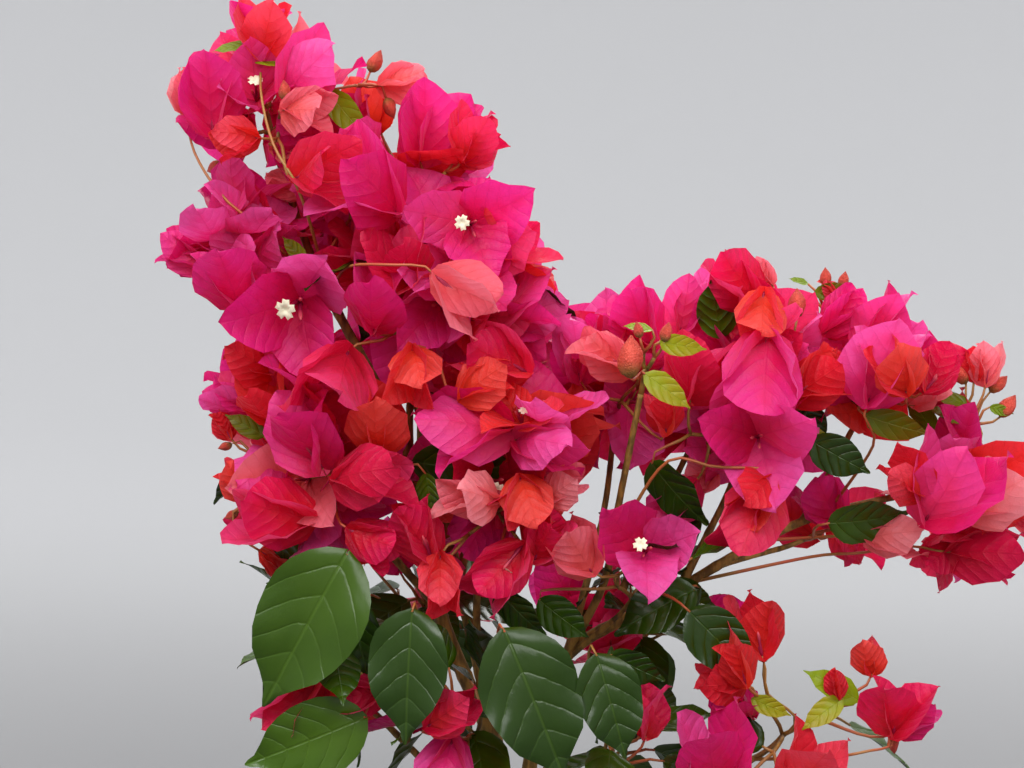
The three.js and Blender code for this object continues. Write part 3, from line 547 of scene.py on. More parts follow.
def curve_through(points):
    """A row of points that passes through those given, rounded between them."""
    points = np.array(points, float)
    line = []
    for i in range(len(points) - 1):
        nearby = [points[min(max(i + k, 0), len(points) - 1)] for k in (-1, 0, 1, 2)]
        for t in np.arange(CURVE_STEPS) / CURVE_STEPS:
            bend = (
                -0.5 * t + t * t - 0.5 * t**3,
                1 - 2.5 * t * t + 1.5 * t**3,
                0.5 * t + 2 * t * t - 1.5 * t**3,
                -0.5 * t * t + 0.5 * t**3,
            )
            line.append(sum(share * point for share, point in zip(bend, nearby)))
    return np.array([*line, points[-1]])


def curve_between(start, leaving, end, arriving):
    """A row of points that leaves one place and arrives at another in the directions given."""
    reach = CURVE_PULL * np.linalg.norm(end - start)
    after = start + leaving * reach
    before = end - arriving * reach
    t = (np.arange(CURVE_STEPS + 1) / CURVE_STEPS)[:, None]
    early = (1 - t) ** 3 * start + 3 * t * (1 - t) ** 2 * after
    return early + 3 * t * t * (1 - t) * before + t**3 * end


def distances_on(line):
    return np.concatenate([[0], np.cumsum(np.linalg.norm(np.diff(line, axis=0), axis=1))])


def points_on(line, shares):
    """The points that lie shares of the length along a curve."""
    gone = distances_on(line)
    return np.stack([np.interp(np.asarray(shares) * gone[-1], gone, line[:, i]) for i in range(3)], -1)


def direction_on(line, share):
    a, b = points_on(line, (max(share - 0.02, 0), min(share + 0.02, 1)))
    return unit(b - a)


@dataclass
class Limb:
    line: np.ndarray
    radii: tuple


@dataclass
class Head:
    """What one twig carries: a group of bracts, a leaf, a young leaf or a bud."""

    kind: str
    at: np.ndarray
    heading: np.ndarray
    up: np.ndarray
    scale: float
    opening: float
    hue: int
    is_open: bool = False


@dataclass
class Twig:
    line: np.ndarray
    radii: tuple
    head: Head = None
    branches: list = field(default_factory=list)


MIDDLES = np.array([row["centre"] for row in GROWTH.values()], float)
REACHES = np.array([row["reach"] for row in GROWTH.values()], float)
SQUARES = REACHES.mean(axis=1) ** 2
INDEX = {name: i for i, name in enumerate(GROWTH)}


def keeps_to_space(name, point, margin):
    """Whether a point lies in the space of a spray, which borders on the others' in flat faces."""
    own = INDEX[name]
    if np.linalg.norm((point - MIDDLES[own]) / REACHES[own]) > 1:
        return False
    depths = SQUARES - np.sum((point - MIDDLES) ** 2, axis=1)
    borders = 2 * np.linalg.norm(MIDDLES - MIDDLES[own], axis=1) * (CLEAR / 2 + margin)
    beats = depths[own] - depths > borders
    beats[own] = True
    return bool(beats.all())


def limb_of(name, limbs):
    """The bough of a spray, from the middle of the limb that carries it to the spray's space."""
    row = GROWTH[name]
    parent = limbs[row["on"]]
    start = points_on(parent.line, [min(row["at"], LAST_START)])[0]
    points = [start, *(np.array(point, float) for point in row["via"])]
    middle = np.array(row["centre"], float)
    inward = unit(middle - points[-1])
    short = BOUGH_END / np.linalg.norm(inward / np.array(row["reach"]))
    while not keeps_to_space(name, middle - inward * short, row["radii"][0]):
        short -= 1
    return Limb(curve_through([*points, middle - inward * short]), row["radii"])


def all_limbs():
    trunk = curve_through([(0, 0, 0), (*TRUNK_BEND, TRUNK_HEIGHT / 2), (*TRUNK_LEAN, TRUNK_HEIGHT)])
    limbs = {"trunk": Limb(trunk, TRUNK_RADII)}
    waiting = list(GROWTH)
    while waiting:
        name = next(name for name in waiting if GROWTH[name]["on"] in limbs)
        waiting.remove(name)
        limbs[name] = limb_of(name, limbs)
    return limbs


def bract_frames(head):
    """Direction and inner side of each of the three bracts of a head, round its axis."""
    frames = []
    for sixth in (1, 3, 5):
        out = turned(head.up, head.heading, sixth * math.pi / 3)
        lie = head.heading * math.cos(head.opening) + out * math.sin(head.opening)
        inner = head.heading * math.sin(head.opening) - out * math.cos(head.opening)
        frames.append((lie, inner))
    return frames


def head_at(kind, name, rng, root, scale):
    """A head at a random place in the space of a spray, facing away from its middle and its root."""
    own = INDEX[name]
    way = unit(rng.normal(size=3))
    depths = OUTER_DEPTHS if kind in ("young", "bud", "tip") else DEPTHS
    depth = mix(*depths, rng.random() ** DEPTH_POWER)
    at = MIDDLES[own] + way * REACHES[own] * depth
    heading = way * FLATTER + AWAY_FROM_ROOT * unit(at - root) + SWAY * (2 * rng.random(3) - 1)
    heading[2] += -DROOP if kind == "leaf" else RISE
    heading = unit(heading)
    facing = UP + FACING_OUT * way if kind in ("leaf", "young") else UP
    up = np.cross(heading, unit(np.cross(facing, heading)))
    roll = 2 * math.pi * rng.random() if kind == "bracts" else rng.random() - 0.5
    hues = np.array(GROWTH[name]["hues"], float)
    hue = int(rng.choice(len(HUES), p=hues / hues.sum()))
    up = turned(up, heading, roll)
    opening = mix(*OPENING, rng.random())
    is_open = rng.random() < OPEN_SHARE
    if kind == "tip":
        hue = HUES.index("salmon" if rng.random() < 0.5 else "scarlet")
        opening = mix(*TIP_OPENING, rng.random())
        return Head("bracts", at, heading, up, scale * TIP_SCALE, opening, hue)
    return Head(kind, at, heading, up, scale, opening, hue, is_open)


def column_width_at(depth):
    """The width that one column spans so far behind the plane of the trunk."""
    return COLUMN_WIDTH * (depth - EYE[1]) / -EYE[1]


def seen_at(column, row, depth):
    """The point, so far behind the plane of the trunk, that shows at a column and row of the frame."""
    spread = column_width_at(depth)
    x = EYE[0] + (column - FRAME_SIZE[0] / 2) * spread
    return np.array((x, depth, EYE[2] - (row - FRAME_SIZE[1] / 2) * spread))


def in_open_place(points):
    """Whether any of the points shows in a place that is left open."""
    spread = column_width_at(points[:, 1])
    columns = FRAME_SIZE[0] / 2 + (points[:, 0] - EYE[0]) / spread
    rows = FRAME_SIZE[1] / 2 - (points[:, 2] - EYE[2]) / spread
    places = np.array(list(OPEN_PLACES.values()), float)
    off = np.hypot(columns[:, None] - places[:, 0], rows[:, None] - places[:, 1])
    return bool((off < places[:, 2] + OPEN_MARGIN).any())


def head_seen(row, sizes, back=0.0):
    """The head of a row of those that stand out, so far back from its place."""
    kind, carried, aim, depth, nearer, scale, hue, opening, roll, is_open = row
    at = seen_at(*carried, depth + back)
    way = seen_at(*aim, depth + back - nearer) - at
    heading = unit(way)
    up = unit(TOWARDS_VIEW - heading * np.dot(TOWARDS_VIEW, heading))
    if kind in ("leaf", "young"):
        scale = np.linalg.norm(way) / (sizes.leaf if kind == "leaf" else sizes.young)
    up = turned(up, heading, roll)
    return Head(kind, at, heading, up, scale, opening, HUES.index(hue), is_open)


def heads_that_stand_out(name, sizes):
    """The heads in front of a spray, each set back as far as it would reach out of the bush."""
    heads = []
    for row in STANDING_OUT.get(name, ()):
        front = tips_of(head_seen(row, sizes), sizes)[:, 1].min()
        heads.append(head_seen(row, sizes, max(FRONT_REACH - front, 0.0)))
    return heads


def tips_of(head, sizes):
    """Where the tips of a head lie: three of a group of bracts, else one."""
    if head.kind == "bracts":
        length = sizes.bract * head.scale
        return np.array([head.at + lie * length for lie, _ in bract_frames(head)])
    length = {"leaf": sizes.leaf, "young": sizes.young, "bud": sizes.bud}[head.kind]
    return np.array([head.at + head.heading * length * head.scale])


def middle_of(head, sizes):
    return (2 * head.at + tips_of(head, sizes).mean(axis=0)) / 3


@functools.cache
def all_standing_out(sizes):
    """Middle and size of every head that stands out, of all sprays."""
    heads = [head for name in STANDING_OUT for head in heads_that_stand_out(name, sizes)]
    return np.array([(*middle_of(head, sizes), min(head.scale, 1)) for head in heads])


def place_heads(name, sizes, rng, root, limb_points, bare_points):
    """Heads set one by one in the space of a spray, apart from each other and from the limbs."""
    row = GROWTH[name]
    kinds = ["bracts"] * round(row["groups"] * sizes.fullness)
    leaves = ["leaf"] * round(row["leaves"] * sizes.leafiness)
    small = ["young", "bud", "tip"] * row["young"]
    kinds = leaves + kinds + small if row["leaves"] > row["groups"] else kinds + leaves + small
    own = INDEX[name]
    heads = heads_that_stand_out(name, sizes)
    middles = np.array([middle_of(head, sizes) for head in heads]).reshape(-1, 3)
    rooms = np.array([HEAD_ROOM[head.kind] * head.scale for head in heads])
    in_front = all_standing_out(sizes)
    for kind in kinds:
        for attempt in range(TRIES):
            share = attempt / TRIES
            size = mix(1.0, SMALLEST, share) * (rng.uniform(*LEAF_SCALES) if kind == "leaf" else 1)
            head = head_at(kind, name, rng, root, size)
            if not keeps_to_space(name, head.at, 0):
                continue
            tips = tips_of(head, sizes)
            if np.linalg.norm((tips - MIDDLES[own]) / REACHES[own], axis=1).max() > TIP_ROOM:
                continue
            middle = middle_of(head, sizes)
            room = HEAD_ROOM[kind] * mix(1.0, SMALLEST_ROOM, share)
            if len(middles) and (np.linalg.norm(middles - middle, axis=1) < rooms + room).any():
                continue
            off = middle - in_front[:, :3]
            beside = np.hypot(off[:, 0], off[:, 2]) > COLUMN_ROOM * in_front[:, 3]
            if not (beside | (off[:, 1] > BEHIND)).all():
                continue
            along = np.concatenate([mix(head.at, tips, part) for part in HEAD_SHARES])
            if (np.linalg.norm(limb_points[:, None] - along[None], axis=2) < LIMB_ROOM).any():
                continue
            if in_open_place(along):
                continue
            off = bare_points[:, None] - along[None]
            if ((np.hypot(off[..., 0], off[..., 2]) < BARE_ROOM) & (off[..., 1] > 0)).any():
                continue
            heads.append(head)
            middles = np.vstack([middles, middle])
            rooms = np.append(rooms, room)
            break
    return heads


def best_roll(offsets):
    """How a fork is rolled round its axis so that its three sides get heads near their middles."""
    third = 2 * math.pi / 3
    best = None
    angles = np.arctan2(offsets[:, 1], offsets[:, 0])
    for step in range(ROLLS):
        roll = step * third / ROLLS
        turns = (angles - roll) % (2 * math.pi)
        sides = np.minimum((turns // third).astype(int), 2)
        used = len(set(sides.tolist()))
        fit = SIDE_WORTH * used * len(offsets)
        fit += np.sum(np.linalg.norm(offsets, axis=1) * np.cos(turns - (sides + 0.5) * third))
        if best is None or fit > best[0]:
            best = (fit, roll, sides, used)
    return best[1:]


def shown_stalks(name, heads, limbs):
    """The stalks of a spray that have a way of their own."""
    stalks = {}
    radii = (TWIG_RADII["fork"], TWIG_RADII["end"])
    for (spray, place), (carrier, share, via) in SHOWN_STALKS.items():
        if spray == name:
            line = limbs[carrier].line if carrier in limbs else stalks[carrier].line
            head = heads[place]
            points = [points_on(line, [share])[0], *(seen_at(*point) for point in via), head.at]
            points.insert(-1, head.at - head.heading * STALK_STRAIGHT * head.scale)
            stalks[(spray, place)] = Twig(curve_through(points), radii, head)
    return stalks


def tree_of(start, leaving, heads, radius):
    """The twigs of a spray: each ends in a head, or forks in up to three towards its heads."""
    if len(heads) == 1:
        line = curve_between(start, leaving, heads[0].at, heads[0].heading)
        return Twig(line, (radius, TWIG_RADII["end"]), heads[0])
    places = np.array([head.at for head in heads])
    middle = places.mean(axis=0)
    fork = mix(start, middle, FORK_SHARE) + leaving * FORK_ONWARD * np.linalg.norm(middle - start)
    axis = unit(middle - fork)
    level = unit(np.cross(axis, (1.0, 0.0, 0.0) if abs(axis[2]) > 0.9 else UP))
    other = np.cross(axis, level)
    roll, sides, used = best_roll(np.stack([(places - fork) @ level, (places - fork) @ other], -1))
    if used == 1:
        sides = np.arange(len(heads)) % 3
    facing = turned(level, axis, roll)
    end = max(TWIG_RADII["fork"], radius * FORK_THINNING)
    branches = []
    for side in range(3):
        own = [head for head, place in zip(heads, sides) if place == side]
        if own:
            out = turned(facing, axis, (side + 0.5) * 2 * math.pi / 3)
            branches.append(tree_of(fork, unit(axis + out * FORK_SPREAD), own, end))
    return Twig(curve_between(start, leaving, fork, axis), (radius, end), None, branches)


def twigs_of(twig):
    yield twig
    for branch in twig.branches:
        yield from twigs_of(branch)


@dataclass(frozen=True)
class Sizes:
    """Lengths in millimetres, and how much fuller than its solids the plant is."""

    seed: int
    fullness: float
    leafiness: float
    bract: float
    leaf: float
    young: float
    bud: float


def sizes_of(scene):
    settings = scene.bush_sizes
    return Sizes(
        settings.seed,
        round(settings.fullness, 4),
        round(settings.leafiness, 4),
        round(settings.bract_length / MM, 3),
        round(settings.leaf_length / MM, 3),
        round(settings.young_leaf_length / MM, 3),
        round(settings.bud_length / MM, 3),
    )


@functools.cache
def grown(sizes):
    """The limbs by name, and the tree of twigs of each spray."""
    limbs = all_limbs()
    shares = np.linspace(0, 1, LIMB_POINTS)
    limb_points = np.concatenate([points_on(limb.line, shares) for limb in limbs.values()])
    bare_points = []
    for name, stretch in BARE_STRETCHES.items():
        bare_points.append(points_on(limbs[name].line, np.linspace(*stretch, BARE_POINTS)))
    bare_points = np.concatenate(bare_points)
    trees = {}
    for name in GROWTH:
        rng = np.random.default_rng(zlib.crc32(name.encode()) + sizes.seed)
        line = limbs[name].line
        root = line[-1]
        heads = place_heads(name, sizes, rng, root, limb_points, bare_points)
        stalks = shown_stalks(name, heads, limbs)
        others = [head for place, head in enumerate(heads) if (name, place) not in stalks]
        trees[name] = tree_of(root, direction_on(line, 1), others, TWIG_RADII["root"])
        trees[name].branches.extend(stalks.values())
    return limbs, trees


def heads_of(trees, kind):
    """All heads of one kind, spray by spray."""
    for tree in trees.values():
        for twig in twigs_of(tree):
            if twig.head and twig.head.kind == kind:
                yield twig.head


# Meshes

# A direction that no limb leaves in
ASKEW = (0.36, 0.48, 0.8)

# Blades: how far their rows crowd at both ends, where the sides draw in to a point and over what
# share, the least half-width in millimetres, and the waves of the left and of the right side
END_CROWDING = 0.7
POINT_AT = 0.9
POINT_RUN = 0.09
LEAST_HALF = 0.3
RUFFLE_WAVES = (17, 14)

# The quarter of the map of a blade: shares of its length that lie behind its root and that the
# quarter is long, and the edge left round it
MAP_BEHIND = 0.06
MAP_LENGTH = 1.08
MAP_EDGE = 0.02


def mesh_object(name, corners, faces, uvs=None):
    """An object made of corners in millimetres. uvs: one place on the map for each corner."""
    mesh = bpy.data.meshes.new(name)
    mesh.from_pydata((np.asarray(corners) * MM).tolist(), [], [list(map(int, face)) for face in faces])
    if uvs is not None:
        layer = mesh.uv_layers.new(name="OFBake")
        index = np.empty(len(mesh.loops), np.int32)
        mesh.loops.foreach_get("vertex_index", index)
        layer.data.foreach_set("uv", np.asarray(uvs, np.float32)[index].ravel())
    mesh.shade_smooth()
    return bpy.data.objects.new(name, mesh)


def circle(sides):
    """The turn of each corner of a ring."""
    return np.arange(sides) * 2 * math.pi / sides


def band_faces(rings, sides):
    """Faces between rings of corners that follow each other."""
    faces = []
    for i in range(rings - 1):
        for j in range(sides):
            a, b = i * sides + j, i * sides + (j + 1) % sides
            faces.append((a, b, b + sides, a + sides))
    return faces


def closed_faces(rings, sides):
    """Faces of rings that are closed by the middles of both ends, as the last two corners."""
    faces = band_faces(rings, sides)
    last = (rings - 1) * sides
    for j in range(sides):
        k = (j + 1) % sides
        faces.append((k, j, rings * sides))
        faces.append((last + j, last + k, rings * sides + 1))
    return faces


def disc_faces(rings, sides):
    """Faces of rings round a middle, which is the first corner."""
    faces = [(0, 1 + j, 1 + (j + 1) % sides) for j in range(sides)]
    return faces + [(1 + a, 1 + d, 1 + c, 1 + b) for a, b, c, d in band_faces(rings, sides)]


def tube(line, radii, sides, shares):
    """Corners and faces of a closed tube along a curve. radii: one for each of the shares."""
    middles = points_on(line, shares)
    normal = unit(np.cross(direction_on(line, 0), ASKEW))
    rings = []
    turns = circle(sides)
    for share, middle, radius in zip(shares, middles, radii):
        along = direction_on(line, share)
        normal = unit(normal - along * np.dot(normal, along))
        across = np.cross(along, normal)
        rings.append(middle + radius * (np.cos(turns)[:, None] * normal + np.sin(turns)[:, None] * across))
    return np.concatenate([*rings, middles[:1], middles[-1:]]), closed_faces(len(rings), sides)


def joined(parts):
    """Corners and faces of several parts as one."""
    corners, faces, count = [], [], 0
    for own_corners, own_faces in parts:
        corners.append(own_corners)
        faces.extend(tuple(count + i for i in face) for face in own_faces)
        count += len(own_corners)
    return np.concatenate(corners), faces


def lathe(profile, sides, lobes=0, lobe_depth=0, twist=0):
    """Corners, faces and map of a form turned about +Y, closed at both ends, from (radius, height) points."""
    corners, uvs = [], []
    turns = circle(sides)
    top = profile[-1][1]
    for radius, height in profile:
        around = turns + twist * height / top
        swell = radius * (1 - lobe_depth * np.abs(np.cos(lobes * around / 2)) ** 4)
        corners.extend(zip(swell * np.cos(turns), [height] * sides, -swell * np.sin(turns)))
        uvs.extend(zip(np.abs(turns / math.pi - 1), [height / top] * sides))
    last = (len(profile) - 1) * sides
    ends = [tuple(reversed(range(sides))), tuple(range(last, last + sides))]
    return np.array(corners), band_faces(len(profile), sides) + ends, np.array(uvs)


def blade(length, width, columns, rows, relief, cell, outline, ruffle=0.0):
    """Corners, faces and map of a blade along +Y from its root, with its face towards +Z.

    relief gives the height at across (-1 to 1) and along (0 to 1). cell is the column and row of the
    blade's own quarter of the map. outline: where the blade is widest, its rounding and taper (the
    smaller, the rounder its base and its sides towards the tip), its point (how far its sides draw in
    before the tip) and its lobe (how far its base reaches back beside the root). ruffle: how far its
    sides swing in and out.
    """
    widest, rounding, taper, point, lobe = outline
    across = np.linspace(-1, 1, columns + 1)
    steps = np.linspace(0, 1, rows + 1)
    along = mix(steps, (1 - np.cos(math.pi * steps)) / 2, END_CROWDING)
    u, v = np.meshgrid(across, along)
    base = (1 - ((widest - np.minimum(v, widest)) / widest) ** 2) ** rounding
    half = base * (1 - ((np.maximum(v, widest) - widest) / (1 - widest)) ** 2) ** taper
    half = half * (1 - point * np.exp(-(((v - POINT_AT) / POINT_RUN) ** 2)))
    half = np.maximum(half / half.max() * width / 2, LEAST_HALF)
    half = half * (1 + ruffle * np.sin(np.where(u < 0, *RUFFLE_WAVES) * v + 40 * ruffle))
    x = u * half
    y = v * length - lobe * length * np.abs(u) ** 1.5 * np.exp(-v * 5)
    corners = np.stack([x, y, relief(u, v)], -1).reshape(-1, 3)
    faces = []
    for i in range(rows):
        for j in range(columns):
            a = i * (columns + 1) + j
            faces.append((a, a + 1, a + columns + 2, a + columns + 1))
    local = np.stack([x / width + 0.5, (y / length + MAP_BEHIND) / MAP_LENGTH], -1).reshape(-1, 2)
    uvs = (np.array(cell) + MAP_EDGE + (1 - 2 * MAP_EDGE) * np.clip(local, 0, 1)) / 2
    return corners, faces, uvs


# Nodes

# Bark relief: the share of its scale that is left along +Z, its scale, and the noise that counts as
# level
BARK_STRETCH = 0.22
BARK_SCALE = 420
BARK_LEVEL = 0.55


class Nodes:
    """Short ways to make the nodes of a tree."""

    def __init__(self, tree):
        self.tree = tree

    def add(self, kind, inputs=(), **settings):
        """A node. inputs: a value or another node's output for each, by its name or number."""
        node = self.tree.nodes.new(kind)
        for key, value in settings.items():
            setattr(node, key, value)
        for key, value in dict(inputs).items():
            if isinstance(value, bpy.types.NodeSocket):
                self.tree.links.new(value, node.inputs[key])
            else:
                node.inputs[key].default_value = value
        return node

    def math(self, operation, a, b=0.0):
        return self.add("ShaderNodeMath", {0: a, 1: b}, operation=operation).outputs[0]

    def ramp(self, value, low, high, out_low=0.0, out_high=1.0):
        inputs = {"Value": value, "From Min": low, "From Max": high, "To Min": out_low, "To Max": out_high}
        return self.add("ShaderNodeMapRange", inputs, interpolation_type="SMOOTHSTEP").outputs[0]

    def blend(self, factor, a, b):
        a, b = ((*colour, 1) if isinstance(colour, tuple) else colour for colour in (a, b))
        return self.add("ShaderNodeMix", {0: factor, 6: a, 7: b}, data_type="RGBA").outputs[2]


def modifier_group(name, **inputs):
    """A node group for a modifier, its nodes, and its inputs' values. inputs: kinds of socket by name."""
    group = bpy.data.node_groups.new(name, "GeometryNodeTree")
    group.is_modifier = True
    group.interface.new_socket("Geometry", in_out="INPUT", socket_type="NodeSocketGeometry")
    for key, kind in inputs.items():
        group.interface.new_socket(key, in_out="INPUT", socket_type=kind)
    group.interface.new_socket("Geometry", in_out="OUTPUT", socket_type="NodeSocketGeometry")
    make = Nodes(group)
    return group, make, make.add("NodeGroupInput").outputs


def finish_group(make, geometry, finish):
    """Gives the geometry its finish and sends it out of the group."""
    finished = make.add("GeometryNodeSetMaterial", {"Geometry": geometry, "Material": finish})
    make.add("NodeGroupOutput", {"Geometry": finished.outputs["Geometry"]})


def scatter_group():
    """A node group that sets shapes of a collection on points, and makes them one mesh."""
    group, make, start = modifier_group(
        "Scatter on twigs", Shapes="NodeSocketCollection", Finish="NodeSocketMaterial"
    )
    named = {}
    for name, kind in (("turn", "FLOAT_VECTOR"), ("size", "FLOAT"), ("pick", "INT")):
        attribute = make.add("GeometryNodeInputNamedAttribute", {"Name": name}, data_type=kind)
        named[name] = attribute.outputs["Attribute"]
    shapes = make.add(
        "GeometryNodeCollectionInfo",
        {"Collection": start["Shapes"], "Separate Children": True, "Reset Children": True},
    )
    scatter = make.add(
        "GeometryNodeInstanceOnPoints",
        {
            "Points": start["Geometry"],
            "Instance": shapes.outputs[0],
            "Pick Instance": True,
            "Instance Index": named["pick"],
            "Rotation": make.add("FunctionNodeEulerToRotation", {0: named["turn"]}).outputs[0],
            "Scale": named["size"],
        },
    )
    realize = make.add("GeometryNodeRealizeInstances", {"Geometry": scatter.outputs["Instances"]})
    finish_group(make, realize.outputs["Geometry"], start["Finish"])
    return group


def bark_group():
    """A node group that raises ridges and pits on a limb's surface, longer along +Z than across."""
    group, make, start = modifier_group("Bark relief", Depth="NodeSocketFloat", Finish="NodeSocketMaterial")
    place = make.add("GeometryNodeInputPosition")
    stretch = make.add(
        "ShaderNodeVectorMath", {0: place.outputs[0], 1: (1, 1, BARK_STRETCH)}, operation="MULTIPLY"
    )
    noise = make.add(
        "ShaderNodeTexNoise",
        {"Vector": stretch.outputs[0], "Scale": BARK_SCALE, "Detail": 3, "Roughness": 0.6},
    )
    centred = make.math("SUBTRACT", noise.outputs[0], BARK_LEVEL)
    depth = make.math("MULTIPLY", centred, start["Depth"])
    normal = make.add("GeometryNodeInputNormal")
    push = make.add("ShaderNodeVectorMath", {0: normal.outputs[0], "Scale": depth}, operation="SCALE")
    move = make.add("GeometryNodeSetPosition", {"Geometry": start["Geometry"], "Offset": push.outputs[0]})
    finish_group(make, move.outputs["Geometry"], start["Finish"])
    return group


def made_plain(context, source, group, inputs, name):
    """The mesh that a node group makes of a source object, as an object of its own."""
    context.scene.collection.objects.link(source)
    modifier = source.modifiers.new(group.name, "NODES")
    modifier.node_group = group
    sockets = {item.name: item.identifier for item in group.interface.items_tree if item.in_out == "INPUT"}
    for key, value in inputs.items():
        modifier[sockets[key]] = value
    depsgraph = context.evaluated_depsgraph_get()
    depsgraph.update()
    evaluated = source.evaluated_get(depsgraph)
    mesh = bpy.data.meshes.new_from_object(evaluated, preserve_all_data_layers=True, depsgraph=depsgraph)
    source.modifiers.remove(modifier)
    bpy.data.objects.remove(source)
    mesh.name = name
    piece = bpy.data.objects.new(name, mesh)
    context.scene.collection.objects.link(piece)
    return piece


def euler_of(along, face):
    """Turns of a shape so that its +Y lies along one direction and its +Z towards another."""
    y = unit(along)
    z = unit(face - y * np.dot(face, y))
    x = np.cross(y, z)
    columns = Matrix((Vector(x), Vector(y), Vector(z))).transposed()
    return tuple(columns.to_euler())


def scattered(context, name, places, shapes, finish):
    """A piece of shapes set at places, each (point, along, face, size, pick)."""
    if not places:
        raise RuntimeError(f"{name} has no places")
    points, alongs, facings, sizes, picks = zip(*places)
    mesh = bpy.data.meshes.new(name + " points")
    mesh.from_pydata((np.array(points) * MM).tolist(), [], [])
    turn = mesh.attributes.new("turn", "FLOAT_VECTOR", "POINT")
    turn.data.foreach_set("vector", np.ravel([euler_of(*ways) for ways in zip(alongs, facings)]))
    mesh.attributes.new("size", "FLOAT", "POINT").data.foreach_set("value", sizes)
    mesh.attributes.new("pick", "INT", "POINT").data.foreach_set("value", picks)
    group = bpy.data.node_groups.get("Scatter on twigs") or scatter_group()
    box = bpy.data.collections.new(name + " shapes")
    for shape in shapes:
        box.objects.link(shape)
    source = bpy.data.objects.new(name + " points", mesh)
    piece = made_plain(context, source, group, {"Shapes": box, "Finish": finish}, name)
    for shape in shapes:
        bpy.data.objects.remove(shape)
    bpy.data.collections.remove(box)
    return piece


# Finishes


def colour_of(*levels):
    """A colour given in bytes as seen on a screen, as a shader takes it."""
    shares = [level / 255 for level in levels]
    return tuple(s / 12.92 if s <= 10 / 255 else ((s + 0.055) / 1.055) ** 2.4 for s in shares)


class Finish(Nodes):
    """A material and its nodes."""

    def __init__(self, name):
        self.material = bpy.data.materials.new(name)
        self.material.use_nodes = True
        super().__init__(self.material.node_tree)
        self.tree.nodes.clear()

    def bump(self, height, depth):
        """Relief of a surface from a height, so many metres deep."""
        return self.add("ShaderNodeBump", {"Height": height, "Distance": depth}).outputs[0]

    def done(self, colour, rough, inputs=(), passes=0.0):
        """The material with its surface made. passes: the share of light that comes through it."""
        inputs = {"Roughness": rough, "Base Color": colour, **dict(inputs)}
        skin = self.add("ShaderNodeBsdfPrincipled", inputs).outputs[0]
        if passes:
            through = {"Color": colour, "Normal": inputs["Normal"]}
            through = self.add("ShaderNodeBsdfTranslucent", through).outputs[0]
            skin = self.add("ShaderNodeMixShader", {0: passes, 1: skin, 2: through}).outputs[0]
        self.add("ShaderNodeOutputMaterial", {0: skin})
        return self.material


# How tints and veins lie on a blade's map: clouds of tint and how far they shift it, where the tint of
# the tip begins and is full, how side veins bend, wander, begin and are full, the same for the midrib,
# and the fine net
CLOUD_SCALE = 9
CLOUD_SHIFT = 0.9
TIP_TINT = (0.25, 1.1)
VEIN_BEND = 1.4
VEIN_WANDER = 0.25
VEIN_EDGE = (0.42, 0.5)
VEIN_SHARE = 0.5
MIDRIB_EDGE = (0.004, 0.022)
NET_SCALE = 30
NET_EDGE = (0.0, 0.16)
BLOOM_TINT = (1.0, 0.72, 0.86, 1)

# Wood: the share of its clouds' scale that is left along +Z, and where they turn from dark to light
WOOD_STRETCH = 0.3
WOOD_EDGE = (0.35, 0.65)

# The scales of a bud, drawn on its map
SCALES = 14
SCALE_LEVEL = 0.3


def quarter_tint(make, column, line, four):
    """The tint of the quarter of the map that a column and a line lie in."""
    low = make.blend(column, four[0], four[1])
    high = make.blend(column, four[2], four[3])
    return make.blend(line, low, high)


